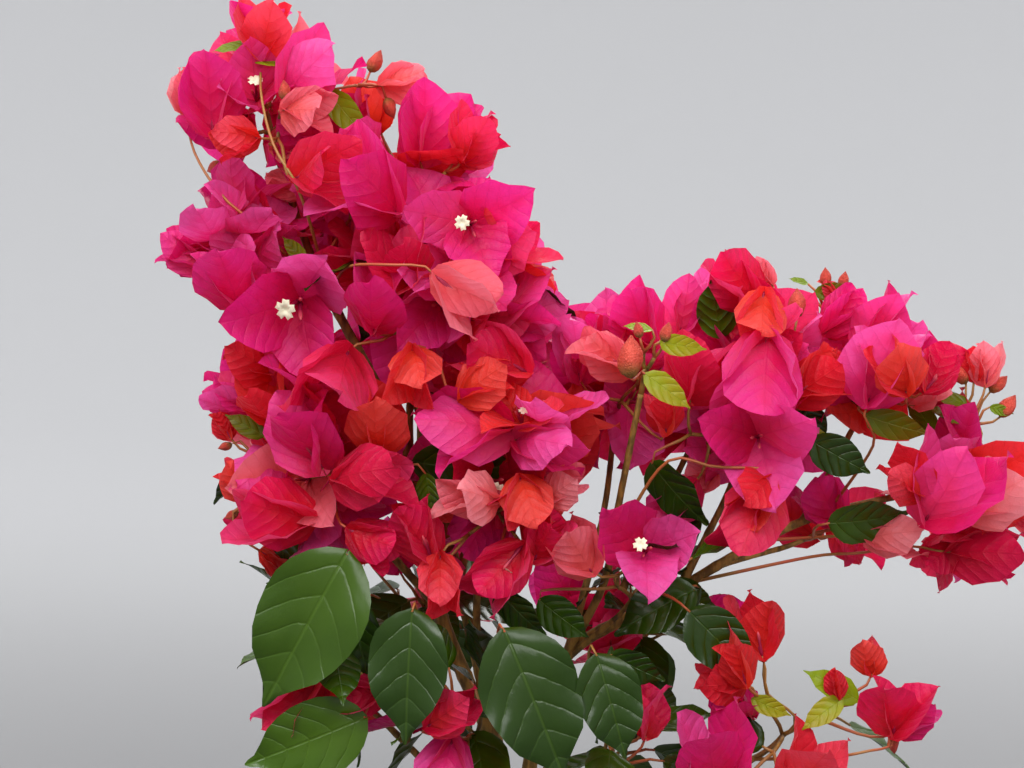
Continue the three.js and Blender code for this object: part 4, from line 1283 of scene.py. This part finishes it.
def blade_finish(
    name, colours, vein, shown, ribs, slope, rough, relief,
    passes=0.0, net=0.0, swell=1.0, bloom=0.0, gloss=0.3,
):
    """Finish of a bract or leaf, drawn on its map: a tint by quarter, a midrib and side veins.

    colours: four tints at the root and four at the tip. vein and shown: colour of the veins and how far
    it shows. ribs: side veins on a side. slope: how steeply they rise. relief: depth of the veins in
    metres. passes: share of light that comes through. net: how far the fine net between the veins shows.
    swell: how uneven the skin is. bloom and gloss: strength of its soft and of its clear shine.
    """
    make = Finish(name)
    place = make.add("ShaderNodeUVMap", uv_map="OFBake").outputs[0]
    parts = make.add("ShaderNodeSeparateXYZ", {0: place}).outputs
    wide = make.math("MULTIPLY", parts[0], 2.0)
    tall = make.math("MULTIPLY", parts[1], 2.0)
    column = make.math("FLOOR", wide)
    line = make.math("FLOOR", tall)
    across = make.math("ABSOLUTE", make.math("SUBTRACT", make.math("FRACT", wide), 0.5))
    along = make.math("FRACT", tall)
    near, far = (quarter_tint(make, column, line, four) for four in colours)
    cloud = make.add("ShaderNodeTexNoise", {"Vector": place, "Scale": CLOUD_SCALE, "Detail": 4}).outputs[0]
    shift = make.math("MULTIPLY", make.math("SUBTRACT", cloud, 0.5), CLOUD_SHIFT)
    drift = make.math("ADD", make.math("ADD", along, shift), across)
    base = make.blend(make.ramp(drift, *TIP_TINT), near, far)
    rise = make.math("MULTIPLY", make.math("POWER", across, VEIN_BEND), slope * ribs)
    bent = make.math("SUBTRACT", make.math("MULTIPLY", along, ribs), rise)
    bent = make.math("ADD", bent, make.math("MULTIPLY", cloud, VEIN_WANDER))
    stripe = make.math("ABSOLUTE", make.math("SUBTRACT", make.math("FRACT", bent), 0.5))
    side_vein = make.math("MULTIPLY", make.ramp(stripe, *VEIN_EDGE), VEIN_SHARE)
    midrib = make.ramp(across, *MIDRIB_EDGE, 1.0, 0.0)
    cells = {"Vector": place, "Scale": NET_SCALE}
    cells = make.add("ShaderNodeTexVoronoi", cells, feature="DISTANCE_TO_EDGE").outputs[0]
    veins = make.math("MAXIMUM", midrib, side_vein)
    drawn = make.math("MAXIMUM", veins, make.ramp(cells, *NET_EDGE, net, 0.0))
    colour = make.blend(make.math("MULTIPLY", drawn, shown), base, vein)
    furrow = make.math("POWER", make.math("MULTIPLY", stripe, 2.0), 2.0)
    dip = make.math("ADD", furrow, make.math("MULTIPLY", drawn, 0.5))
    pillows = make.math("SUBTRACT", make.math("MULTIPLY", cloud, swell), dip)
    inputs = {"Specular IOR Level": gloss, "Normal": make.bump(pillows, relief)}
    if bloom:
        inputs.update({"Sheen Weight": bloom, "Sheen Roughness": 0.4, "Sheen Tint": BLOOM_TINT})
    return make.done(colour, rough, inputs, passes)


def wood_finish(name, dark, light, scale, rough, relief):
    """Finish of stems and bark: clouds of two colours, stretched upwards, with a fine relief."""
    make = Finish(name)
    place = make.add("ShaderNodeTexCoord").outputs["Object"]
    stretch = make.add("ShaderNodeMapping", {"Vector": place, "Scale": (1, 1, WOOD_STRETCH)}).outputs[0]
    cloud = make.add("ShaderNodeTexNoise", {"Vector": stretch, "Scale": scale, "Detail": 4}).outputs[0]
    colour = make.blend(make.ramp(cloud, *WOOD_EDGE), tuple(dark), tuple(light))
    return make.done(colour, rough, {"Normal": make.bump(cloud, relief)})


def graded_finish(name, root, tip, start, end, rough, relief=0.0):
    """Finish of a small form whose colour runs from its root to its tip along its map."""
    make = Finish(name)
    place = make.add("ShaderNodeUVMap", uv_map="OFBake").outputs[0]
    along = make.add("ShaderNodeSeparateXYZ", {0: place}).outputs[1]
    inputs = {}
    if relief:
        cells = {"Vector": place, "Scale": SCALES}
        cells = make.add("ShaderNodeTexVoronoi", cells, feature="DISTANCE_TO_EDGE").outputs[0]
        inputs = {"Normal": make.bump(make.math("MINIMUM", cells, SCALE_LEVEL), relief)}
    return make.done(make.blend(make.ramp(along, start, end), tuple(root), tuple(tip)), rough, inputs)


def wall_finish(name, colour, shade, radius):
    """Finish of floor and wall: plain, with painted shade that makes it darker towards the middle of the
    floor, under the bush.
    """
    make = Finish(name)
    place = make.add("ShaderNodeTexCoord").outputs["Object"]
    flat = make.add("ShaderNodeVectorMath", {0: place, 1: (1, 1, 0)}, operation="MULTIPLY").outputs[0]
    far = make.add("ShaderNodeVectorMath", {0: flat}, operation="LENGTH").outputs["Value"]
    # Painted shade: the floor's colour at its middle, dimmed by the shade share
    dim = tuple(c * shade for c in colour)
    return make.done(make.blend(make.ramp(far, 0.0, radius), dim, tuple(colour)), 0.9)


# Tints of the four quarters of a bract's map, at its root and at its tip, as seen on a screen
BRACT_TINTS = {
    "magenta": (
        ((226, 20, 92), (234, 40, 122), (218, 14, 80), (236, 50, 110)),
        ((232, 44, 138), (240, 84, 168), (224, 28, 120), (238, 62, 148)),
    ),
    "crimson": (
        ((220, 16, 48), (230, 30, 70), (212, 12, 58), (234, 40, 54)),
        ((230, 28, 92), (240, 62, 122), (220, 22, 78), (238, 48, 98)),
    ),
    "scarlet": (
        ((226, 38, 30), (234, 58, 36), (220, 28, 38), (232, 44, 46)),
        ((234, 50, 58), (240, 78, 74), (230, 38, 60), (238, 64, 88)),
    ),
    "salmon": (
        ((240, 98, 98), (244, 116, 118), (234, 86, 96), (242, 106, 118)),
        ((247, 124, 140), (250, 150, 160), (242, 106, 126), (248, 132, 150)),
    ),
}

# The veins of bracts
BRACT_VEINS = {
    "magenta": (200, 16, 92),
    "crimson": (186, 10, 48),
    "scarlet": (200, 30, 34),
    "salmon": (222, 84, 82),
}

# The same for leaves, with the colour of their veins
LEAF_TINTS = (
    ((42, 66, 2), (52, 78, 3), (34, 57, 3), (60, 88, 4)),
    ((36, 60, 3), (46, 72, 4), (30, 53, 4), (54, 82, 6)),
)
LEAF_VEIN = (98, 130, 40)
YOUNG_TINTS = (
    ((124, 146, 10), (142, 150, 14), (92, 110, 10), (106, 136, 14)),
    ((132, 152, 14), (152, 142, 18), (104, 96, 12), (114, 140, 16)),
)
YOUNG_VEIN = (150, 166, 50)

# The flower tube at its mouth, and a bud at its root and its tip
TUBE_MOUTH = (196, 70, 84)
BUD_TINTS = ((128, 98, 34), (202, 66, 48))

# Blades: columns and rows of their meshes, the numbers that their random draws start from, and the
# outline of a leaf as blade takes it
BRACT_GRID = (6, 8)
LEAF_GRID = (8, 12)
YOUNG_GRID = (4, 6)
BRACT_SEED = 100
LEAF_SEED = 200
LEAF_OUTLINE = (0.36, 0.62, 0.95, 0.5, 0.03)


def tints(table):
    return tuple(tuple(colour_of(*colour) for colour in four) for four in table)


def bract_shapes(length, width):
    """Bracts, wavy in their own ways, some for each quarter of the map."""
    shapes = []
    for number in range(BRACT_SHAPES):
        rng = np.random.default_rng(BRACT_SEED + number)
        cup, fold = rng.uniform(-1, 6), rng.uniform(0, 4)
        arch, curl = rng.uniform(-3, 7), rng.uniform(-4, 3)
        wave, waves = rng.uniform(1.2, 3.4), rng.uniform(1.1, 2.4)
        twist, phases = rng.uniform(-4, 4), rng.uniform(0, 2 * math.pi, 4)

        def relief(u, v):
            swell = np.sin(math.pi * v) ** 0.7
            ripple = np.sin(2 * math.pi * waves * v + np.where(u > 0, phases[0], phases[1]))
            height = swell * (fold * np.abs(u) + cup * u * u + wave * np.abs(u) ** 1.6 * ripple)
            bow = arch * (2 * v - 1) ** 2 - arch
            height += bow + curl * np.clip(v - 0.65, 0, 1) ** 2 * 6 + twist * u * v * v
            crumple = np.sin(8 * v + 4 * u + phases[2]) + 0.6 * np.sin(13 * v - 7 * u + phases[3])
            return height + 0.7 * crumple * swell

        cell = (number % 2, number // 2 % 2)
        widest, rounding = rng.uniform(0.36, 0.44), rng.uniform(0.4, 0.55)
        taper, point, lobe = rng.uniform(0.56, 0.78), rng.uniform(0.1, 0.3), 0.1
        outline = (widest, rounding, taper, point, lobe)
        ruffle, own_width = rng.uniform(0.03, 0.08), width * rng.uniform(0.9, 1.1)
        form = blade(length, own_width, *BRACT_GRID, relief, cell, outline, ruffle)
        shapes.append(mesh_object(f"bract_{number}", *form))
    return shapes


def leaf_shapes(name, length, width, grid, pucker):
    """Four leaves, folded along the midrib and drooping at the tip, one for each quarter of the map."""
    shapes = []
    for number in range(4):
        rng = np.random.default_rng(LEAF_SEED + number)
        fold, droop = rng.uniform(0.1, 0.2), rng.uniform(0.08, 0.2)
        wave, phase = rng.uniform(0.02, 0.045), rng.uniform(0, 2 * math.pi)

        def relief(u, v):
            height = fold * np.abs(u) * width / 2 * np.sin(math.pi * v**0.8)
            height -= droop * length * v**2.2
            height += wave * length * np.abs(u) ** 2 * np.sin(2 * math.pi * 2.2 * v + phase + (u > 0) * 1.7)
            return height + pucker * np.abs(u) * (1 - u * u) * np.sin(2 * math.pi * (6 * v - 2.4 * np.abs(u)))

        form = blade(length, width, *grid, relief, (number % 2, number // 2), LEAF_OUTLINE)
        shapes.append(mesh_object(f"{name}_{number}", *form))
    return shapes


def star_shape(width):
    """An open flower of five notched lobes that stand out round its throat."""
    sides = 20
    turns = circle(sides)
    lobes = 0.5 * width * (0.72 + 0.28 * np.abs(np.cos(2.5 * turns)) - 0.1 * np.cos(10 * turns))
    rings = ((np.full(sides, 0.1 * width), -0.02), (lobes * 0.62, 0.1), (lobes, 0.02))
    corners = [(0.0, -0.08 * width, 0.0)]
    for radii, height in rings:
        corners.extend(zip(radii * np.cos(turns), [height * width] * sides, -radii * np.sin(turns)))
    return mesh_object("star_0", corners, disc_faces(len(rings), sides), [(0.5, 0.5)] * len(corners))


def spray_nodes():
    return [f"spray_{name}" for name in GROWTH]


def ridden(piece, nodes):
    """Says what a finished piece rides on, and hides the solids that it replaces."""
    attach(piece, "root")
    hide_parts(*nodes)


# Settings


def length_setting(name, description, default):
    """A length in metres that a user can set."""
    return bpy.props.FloatProperty(name=name, description=description, default=default, unit="LENGTH")


def colour_setting(name, description, *levels):
    """A colour that a user can set, given in bytes as seen on a screen."""
    return bpy.props.FloatVectorProperty(
        name=name, description=description, default=colour_of(*levels), subtype="COLOR"
    )


class BushSizes(bpy.types.PropertyGroup):
    """Sizes that shape the bush."""

    seed: bpy.props.IntProperty(name="Seed", description="Another number grows another bush", default=17)
    fullness: bpy.props.FloatProperty(
        name="Fullness", description="How full of bracts the sprays are", default=1.0, min=0.5, max=4
    )
    leafiness: bpy.props.FloatProperty(
        name="Leafiness", description="How full of leaves the sprays are", default=1.0, min=0.5, max=4
    )
    bract_length: length_setting("Bract length", "Length of a grown bract", 0.047)
    bract_width: length_setting("Bract width", "Width of a grown bract", 0.038)
    leaf_length: length_setting("Leaf length", "Length of a grown leaf", 0.072)
    leaf_width: length_setting("Leaf width", "Width of a grown leaf", 0.045)
    young_leaf_length: length_setting("Young leaf length", "Length of a leaf at a tip", 0.03)
    young_leaf_width: length_setting("Young leaf width", "Width of a leaf at a tip", 0.014)
    bud_length: length_setting("Bud length", "Length of three closed young bracts", 0.013)
    tube_length: length_setting("Flower length", "Length of a flower's tube", 0.017)
    star_width: length_setting("Star width", "Width of an open flower", 0.0095)
    bark_depth: length_setting("Bark depth", "Depth of the relief of the bark", 0.0012)


class BushColours(bpy.types.PropertyGroup):
    """Plain colours of stems and flowers."""

    bark_dark: colour_setting("Dark bark", "Furrows of the bark", 78, 60, 40)
    bark_light: colour_setting("Light bark", "Ridges of the bark", 142, 118, 82)
    stem: colour_setting("Stem", "Shaded side of young wood", 96, 72, 22)
    stem_light: colour_setting("Light stem", "Lit side of young wood", 156, 118, 48)
    stalk: colour_setting("Stalk", "Green part of a stalk", 146, 112, 50)
    stalk_red: colour_setting("Red stalk", "Red part of a stalk", 176, 76, 46)
    tube: colour_setting("Flower tube", "Tube of a flower", 150, 14, 62)
    star: colour_setting("Star", "Open flower", 224, 216, 188)
    wall: colour_setting("Wall", "Floor and wall round the bush", 176, 176, 177)


# Operators

# Trunk: rings and sides of its mesh, how the rings crowd towards the root, how much the root flare and
# the trunk bulge, the millimetres above the ground in which the bulge comes in, and its rounded end
TRUNK_RINGS = 56
TRUNK_SIDES = 56
RING_POWER = 1.2
ROOT_SWELL = 0.35
TRUNK_SWELL = 0.5
SWELL_RUN = 6
TRUNK_CROWN = 1.5

# Boughs and twigs: millimetres between rings, sides, the collar where a bough leaves its limb and the
# millimetres in which it fades, the knots and the millimetres between them, and the bark's depth
BOUGH_RING_STEP = 3
BOUGH_SIDES = 14
COLLAR = 0.35
COLLAR_RUN = 9
KNOT = 0.1
KNOT_STEP = 34
BOUGH_RELIEF = 0.4
TWIG_RING_STEP = 7
TWIG_SIDES = 6

# How coarse, rough and deep the finishes of wood are, beside their colours
BARK_LOOK = dict(scale=260, rough=0.85, relief=0.0006)
BOUGH_LOOK = dict(scale=320, rough=0.7, relief=0.0003)
TWIG_LOOK = dict(scale=200, rough=0.6, relief=0.0001)
STALK_LOOK = dict(scale=24, rough=0.5, relief=0.00005)

# How the finishes of bracts, leaves and young leaves differ, beside their tints, and the pucker of a
# grown leaf in millimetres
BRACT_LOOK = dict(
    shown=0.2, ribs=6, slope=1.1, rough=0.46, relief=0.00035, passes=0.48, net=0.4, swell=3.0, bloom=0.12
)
LEAF_LOOK = dict(shown=0.12, ribs=6, slope=0.8, rough=0.29, relief=0.0005, gloss=0.32)
YOUNG_LOOK = dict(shown=0.3, ribs=5, slope=0.8, rough=0.36, relief=0.0003, passes=0.3)
PUCKER = 0.5

# How each bract, flower tube and bud differs from its head: the range of its size, how far its
# direction strays, and how far a tube leans from the axis towards its bract
BRACT_SIZES = (0.88, 1.06)
BRACT_STRAY = 0.13
TUBE_SIZES = (0.85, 1.1)
TUBE_STRAY = 0.05
TUBE_LEAN = 0.5
BUD_SIZES = (0.8, 1.2)

# Forms turned about their axis: flower tubes by radius in millimetres and share of their length, with
# the share at which a star sits on an open one, and buds by shares of their length
TUBE_SIDES = 6
CLOSED_TUBE = [(0.75, 0), (1.15, 0.16), (1.0, 0.4), (0.85, 0.6), (1.15, 0.82), (0.85, 0.94), (0.15, 1.04)]
OPENED_TUBE = [(0.75, 0), (1.15, 0.16), (1.0, 0.4), (0.85, 0.6), (1.1, 0.82), (1.3, 0.92), (0.3, 0.94)]
STAR_AT = 1.02
BUD_FORM = [
    (0.05, 0), (0.2, 0.08), (0.3, 0.24), (0.33, 0.42), (0.29, 0.62), (0.18, 0.8), (0.07, 0.93), (0.02, 1)
]
BUD_SIDES = 12
BUD_SEAM = 0.32
BUD_TWISTS = (1.2, -0.8)

# The stage in metres: the level floor, the wall round it, and the floor's painted shade, how dark it is at
# the middle and how far it reaches
FLOOR_RADIUS = 3.0
WALL_RADIUS = 6.0
WALL_HEIGHT = 5.0
BEND_STEPS = 16
WALL_SIDES = 96
FLOOR_SHADE = 0.32
SHADE_RADIUS = 1.3 * FLOOR_RADIUS

# The light from all round, each lamp's place and width in metres and its power in watts, the point
# that they aim at, and the width of the camera's sensor in millimetres
SKY_COLOUR = (0.97, 0.98, 1.0, 1)
SKY_STRENGTH = 2.08
LIGHTS = {
    "Key_light": ((-1.2, -1.5, 2.0), 1.2, 32),
    "Front_light": ((0.7, -2.3, 1.9), 1.7, 40),
    "Back_light": ((0.5, 1.6, 2.0), 1.4, 30),
}
LIT_POINT = (0.04, 0, 0.3)
SENSOR_WIDTH = 36


class BUSH_OT_trunk(bpy.types.Operator):
    """Make the trunk, with its root flare and bark"""

    bl_idname = "bush.trunk"
    bl_label = "Trunk"

    def execute(self, context):
        line = grown(sizes_of(context.scene))[0]["trunk"].line
        turns = circle(TRUNK_SIDES)
        corners = []
        for i in range(TRUNK_RINGS + 1):
            share = (i / TRUNK_RINGS) ** RING_POWER
            middle = points_on(line, [share])[0]
            flare = TRUNK_FLARE * math.exp(-middle[2] / TRUNK_FLARE_HEIGHT)
            radius = mix(*TRUNK_RADII, share) + flare * (1 + ROOT_SWELL * np.cos(4 * turns + 1))
            swell = TRUNK_SWELL * np.cos(3 * turns + 4 * share)
            radius = radius + swell * (1 - math.exp(-middle[2] / SWELL_RUN))
            x, y = middle[0] + radius * np.cos(turns), middle[1] + radius * np.sin(turns)
            corners.append(np.stack([x, y, np.full(TRUNK_SIDES, middle[2])], -1))
        corners = np.concatenate([*corners, [[0, 0, 0]], [line[-1] + (0, 0, TRUNK_CROWN)]])
        source = mesh_object("trunk form", corners, closed_faces(TRUNK_RINGS + 1, TRUNK_SIDES))
        colours = context.scene.bush_colours
        finish = wood_finish("Bark", colours.bark_dark, colours.bark_light, **BARK_LOOK)
        inputs = {"Depth": context.scene.bush_sizes.bark_depth, "Finish": finish}
        piece = made_plain(context, source, bark_group(), inputs, "Trunk_bark")
        for vertex in piece.data.vertices:
            vertex.co.z = max(vertex.co.z, 0.0)
        ridden(piece, ["trunk"])
        return {"FINISHED"}


class BUSH_OT_boughs(bpy.types.Operator):
    """Make the boughs, each thick where it leaves the limb that carries it"""

    bl_idname = "bush.boughs"
    bl_label = "Boughs"

    def execute(self, context):
        limbs = grown(sizes_of(context.scene))[0]
        parts = []
        for name, limb in limbs.items():
            if name == "trunk":
                continue
            length = distances_on(limb.line)[-1]
            shares = np.linspace(0, 1, max(6, round(length / BOUGH_RING_STEP)) + 1)
            collar = COLLAR * limb.radii[0] * np.exp(-shares * length / COLLAR_RUN)
            knots = KNOT * np.maximum(0, np.cos(2 * math.pi * shares * length / KNOT_STEP)) ** 12
            radii = mix(*limb.radii, shares) * (1 + knots) + collar
            parts.append(tube(limb.line, radii, BOUGH_SIDES, shares))
        colours = context.scene.bush_colours
        finish = wood_finish("Young wood", colours.stem, colours.stem_light, **BOUGH_LOOK)
        source = mesh_object("bough forms", *joined(parts))
        inputs = {"Depth": BOUGH_RELIEF * context.scene.bush_sizes.bark_depth, "Finish": finish}
        group = bpy.data.node_groups.get("Bark relief") or bark_group()
        piece = made_plain(context, source, group, inputs, "Boughs")
        ridden(piece, [f"bough_{name}" for name in GROWTH])
        return {"FINISHED"}


class BUSH_OT_twigs(bpy.types.Operator):
    """Make the forked twigs, and the stalk of each head"""

    bl_idname = "bush.twigs"
    bl_label = "Twigs and stalks"

    def execute(self, context):
        trees = grown(sizes_of(context.scene))[1]
        twigs, stalks = [], []
        for tree in trees.values():
            for twig in twigs_of(tree):
                length = distances_on(twig.line)[-1]
                shares = np.linspace(0, 1, max(3, round(length / TWIG_RING_STEP)) + 1)
                part = tube(twig.line, mix(*twig.radii, shares), TWIG_SIDES, shares)
                (stalks if twig.head else twigs).append(part)
        colours = context.scene.bush_colours
        wood = wood_finish("Twig", colours.stem, colours.stem_light, **TWIG_LOOK)
        green = wood_finish("Stalk", colours.stalk, colours.stalk_red, **STALK_LOOK)
        for name, parts, finish in (("Twigs", twigs, wood), ("Stalks", stalks, green)):
            piece = mesh_object(name, *joined(parts))
            piece.data.materials.append(finish)
            context.scene.collection.objects.link(piece)
            ridden(piece, spray_nodes())
        return {"FINISHED"}


class BUSH_OT_bracts(bpy.types.Operator):
    """Make the papery bracts, in threes, one piece for each hue"""

    bl_idname = "bush.bracts"
    bl_label = "Bracts"

    def execute(self, context):
        sizes = context.scene.bush_sizes
        trees = grown(sizes_of(context.scene))[1]
        rng = np.random.default_rng(sizes.seed)
        places = {hue: [] for hue in HUES}
        for head in heads_of(trees, "bracts"):
            for lie, inner in bract_frames(head):
                size = head.scale * rng.uniform(*BRACT_SIZES)
                lie = unit(lie + rng.normal(0, BRACT_STRAY, 3))
                pick = int(rng.integers(BRACT_SHAPES))
                places[HUES[head.hue]].append((head.at, lie, inner, size, pick))
        for hue, own in places.items():
            shapes = bract_shapes(sizes.bract_length / MM, sizes.bract_width / MM)
            vein = colour_of(*BRACT_VEINS[hue])
            finish = blade_finish(f"Bract {hue}", tints(BRACT_TINTS[hue]), vein, **BRACT_LOOK)
            piece = scattered(context, f"Bracts_{hue}", own, shapes, finish)
            ridden(piece, spray_nodes())
        return {"FINISHED"}


class BUSH_OT_flowers(bpy.types.Operator):
    """Make the flowers inside the bracts: three slim tubes, some with an open white star"""

    bl_idname = "bush.flowers"
    bl_label = "Flowers"

    def execute(self, context):
        sizes, colours = context.scene.bush_sizes, context.scene.bush_colours
        trees = grown(sizes_of(context.scene))[1]
        rng = np.random.default_rng(sizes.seed + 1)
        length = sizes.tube_length / MM
        tubes, stars = [], []
        for head in heads_of(trees, "bracts"):
            for number, (lie, _) in enumerate(bract_frames(head)):
                way = unit(TUBE_LEAN * lie + head.heading + rng.normal(0, TUBE_STRAY, 3))
                side = np.cross(way, head.up)
                size = head.scale * rng.uniform(*TUBE_SIZES)
                is_open = head.is_open and number == 0
                tubes.append((head.at, way, side, size, int(is_open)))
                if is_open:
                    stars.append((head.at + way * length * size * STAR_AT, way, side, size, 0))
        shapes = []
        for number, profile in enumerate((CLOSED_TUBE, OPENED_TUBE)):
            form = lathe([(radius, share * length) for radius, share in profile], TUBE_SIDES)
            shapes.append(mesh_object(f"tube_{number}", *form))
        mouth = colour_of(*TUBE_MOUTH)
        finish = graded_finish("Flower tube", colours.tube, mouth, start=0.5, end=1.0, rough=0.5)
        ridden(scattered(context, "Flower_tubes", tubes, shapes, finish), spray_nodes())
        finish = Finish("Flower star").done((*colours.star, 1), 0.6)
        shapes = [star_shape(sizes.star_width / MM)]
        ridden(scattered(context, "Flower_stars", stars, shapes, finish), spray_nodes())
        return {"FINISHED"}


class BUSH_OT_buds(bpy.types.Operator):
    """Make the buds: three young bracts still closed round their flowers"""

    bl_idname = "bush.buds"
    bl_label = "Buds"

    def execute(self, context):
        sizes = context.scene.bush_sizes
        trees = grown(sizes_of(context.scene))[1]
        length = sizes.bud_length / MM
        profile = [(radius * length, height * length) for radius, height in BUD_FORM]
        shapes = []
        for number, twist in enumerate(BUD_TWISTS):
            form = lathe(profile, BUD_SIDES, lobes=3, lobe_depth=BUD_SEAM, twist=twist)
            shapes.append(mesh_object(f"bud_{number}", *form))
        rng = np.random.default_rng(sizes.seed + 2)
        places = []
        for head in heads_of(trees, "bud"):
            size = head.scale * rng.uniform(*BUD_SIZES)
            pick = int(rng.integers(len(BUD_TWISTS)))
            places.append((head.at, head.heading, head.up, size, pick))
        root, tip = tints([BUD_TINTS])[0]
        finish = graded_finish("Bud", root, tip, start=0.0, end=0.45, rough=0.6, relief=0.0012)
        ridden(scattered(context, "Buds", places, shapes, finish), spray_nodes())
        return {"FINISHED"}


class BUSH_OT_leaves(bpy.types.Operator):
    """Make the grown leaves and the young leaves at the tips"""

    bl_idname = "bush.leaves"
    bl_label = "Leaves"

    def execute(self, context):
        sizes = context.scene.bush_sizes
        trees = grown(sizes_of(context.scene))[1]
        rng = np.random.default_rng(sizes.seed + 3)
        leaf_sizes = (sizes.leaf_length / MM, sizes.leaf_width / MM)
        young_sizes = (sizes.young_leaf_length / MM, sizes.young_leaf_width / MM)
        leaf_form = leaf_shapes("leaf", *leaf_sizes, LEAF_GRID, PUCKER)
        young_form = leaf_shapes("young", *young_sizes, YOUNG_GRID, 0.0)
        leaf_look = blade_finish("Leaf", tints(LEAF_TINTS), colour_of(*LEAF_VEIN), **LEAF_LOOK)
        young_look = blade_finish("Young leaf", tints(YOUNG_TINTS), colour_of(*YOUNG_VEIN), **YOUNG_LOOK)
        for kind, name, shapes, finish in (
            ("leaf", "Leaves", leaf_form, leaf_look),
            ("young", "Young_leaves", young_form, young_look),
        ):
            places = []
            for head in heads_of(trees, kind):
                places.append((head.at, head.heading, head.up, head.scale, int(rng.integers(4))))
            ridden(scattered(context, name, places, shapes, finish), spray_nodes())
        return {"FINISHED"}


class BUSH_OT_stage(bpy.types.Operator):
    """Set the floor and wall, the lights and the camera"""

    bl_idname = "bush.stage"
    bl_label = "Stage"

    def execute(self, context):
        context.scene.view_settings.view_transform = "Standard"
        self.floor(context)
        self.lights(context)
        self.camera(context)
        return {"FINISHED"}

    def floor(self, context):
        """A level floor that curves up into a wall, the same from every side."""
        bend = WALL_RADIUS - FLOOR_RADIUS
        profile = [(FLOOR_RADIUS, 0.0)]
        for step in range(1, BEND_STEPS + 1):
            angle = step / BEND_STEPS * math.pi / 2
            profile.append((FLOOR_RADIUS + bend * math.sin(angle), bend * (1 - math.cos(angle))))
        profile.append((WALL_RADIUS, WALL_HEIGHT))
        turns = circle(WALL_SIDES)
        corners = [(0.0, 0.0, 0.0)]
        for radius, height in profile:
            corners.extend(zip(radius * np.cos(turns), radius * np.sin(turns), [height] * WALL_SIDES))
        faces = disc_faces(len(profile), WALL_SIDES)
        sweep = mesh_object("Floor_and_wall", np.array(corners) / MM, faces)
        wall = tuple(context.scene.bush_colours.wall)
        sweep.data.materials.append(wall_finish("Wall", wall, FLOOR_SHADE, SHADE_RADIUS))
        context.scene.collection.objects.link(sweep)
        sweep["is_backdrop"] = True

    def lights(self, context):
        world = bpy.data.worlds.new("Sky")
        world.use_nodes = True
        sky = world.node_tree.nodes["Background"]
        sky.inputs["Color"].default_value = SKY_COLOUR
        sky.inputs["Strength"].default_value = SKY_STRENGTH
        context.scene.world = world
        for name, (place, width, power) in LIGHTS.items():
            data = bpy.data.lights.new(name, "AREA")
            data.shape = "DISK"
            data.size = width
            data.energy = power
            lamp = bpy.data.objects.new(name, data)
            lamp.location = place
            way = Vector(LIT_POINT) - lamp.location
            lamp.rotation_euler = way.to_track_quat("-Z", "Y").to_euler()
            context.scene.collection.objects.link(lamp)
            lamp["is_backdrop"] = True

    def camera(self, context):
        """The camera stands at the eye of the frame and looks level along +Y."""
        data = bpy.data.cameras.new("Camera")
        data.sensor_width = SENSOR_WIDTH
        data.lens = SENSOR_WIDTH * -EYE[1] / (FRAME_SIZE[0] * COLUMN_WIDTH)
        data.clip_start, data.clip_end = 0.05, 50
        camera = bpy.data.objects.new("Camera", data)
        camera.location = [length * MM for length in EYE]
        camera.rotation_euler = (math.pi / 2, 0, 0)
        context.scene.collection.objects.link(camera)
        context.scene.camera = camera


class BUSH_PT_panel(bpy.types.Panel):
    """Sizes and colours of the bush, and a button for each group of pieces"""

    bl_label = "Bougainvillea Bush"
    bl_idname = "BUSH_PT_panel"
    bl_space_type = "VIEW_3D"
    bl_region_type = "UI"
    bl_category = "Bush"

    def draw(self, context):
        for settings in (context.scene.bush_sizes, context.scene.bush_colours):
            box = self.layout.box()
            for key in settings.bl_rna.properties.keys():
                if key not in ("rna_type", "name"):
                    box.prop(settings, key)
        for operator in OPERATORS:
            self.layout.operator(operator.bl_idname)


OPERATORS = (
    BUSH_OT_stage,
    BUSH_OT_trunk,
    BUSH_OT_boughs,
    BUSH_OT_twigs,
    BUSH_OT_bracts,
    BUSH_OT_flowers,
    BUSH_OT_buds,
    BUSH_OT_leaves,
)
CLASSES = (BushSizes, BushColours, *OPERATORS, BUSH_PT_panel)


def register():
    for cls in CLASSES:
        bpy.utils.register_class(cls)
    bpy.types.Scene.bush_sizes = bpy.props.PointerProperty(type=BushSizes)
    bpy.types.Scene.bush_colours = bpy.props.PointerProperty(type=BushColours)


def unregister():
    del bpy.types.Scene.bush_colours
    del bpy.types.Scene.bush_sizes
    for cls in reversed(CLASSES):
        bpy.utils.unregister_class(cls)


def main():
    register()
    for operator in (
        bpy.ops.bush.stage,
        bpy.ops.bush.trunk,
        bpy.ops.bush.boughs,
        bpy.ops.bush.twigs,
        bpy.ops.bush.bracts,
        bpy.ops.bush.flowers,
        bpy.ops.bush.buds,
        bpy.ops.bush.leaves,
    ):
        operator()
    boxes = {"cad": cad_box, "visual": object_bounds()}
    {name: [list(corner) for corner in box] for name, box in boxes.items()}


if __name__ == "__main__":
    main()
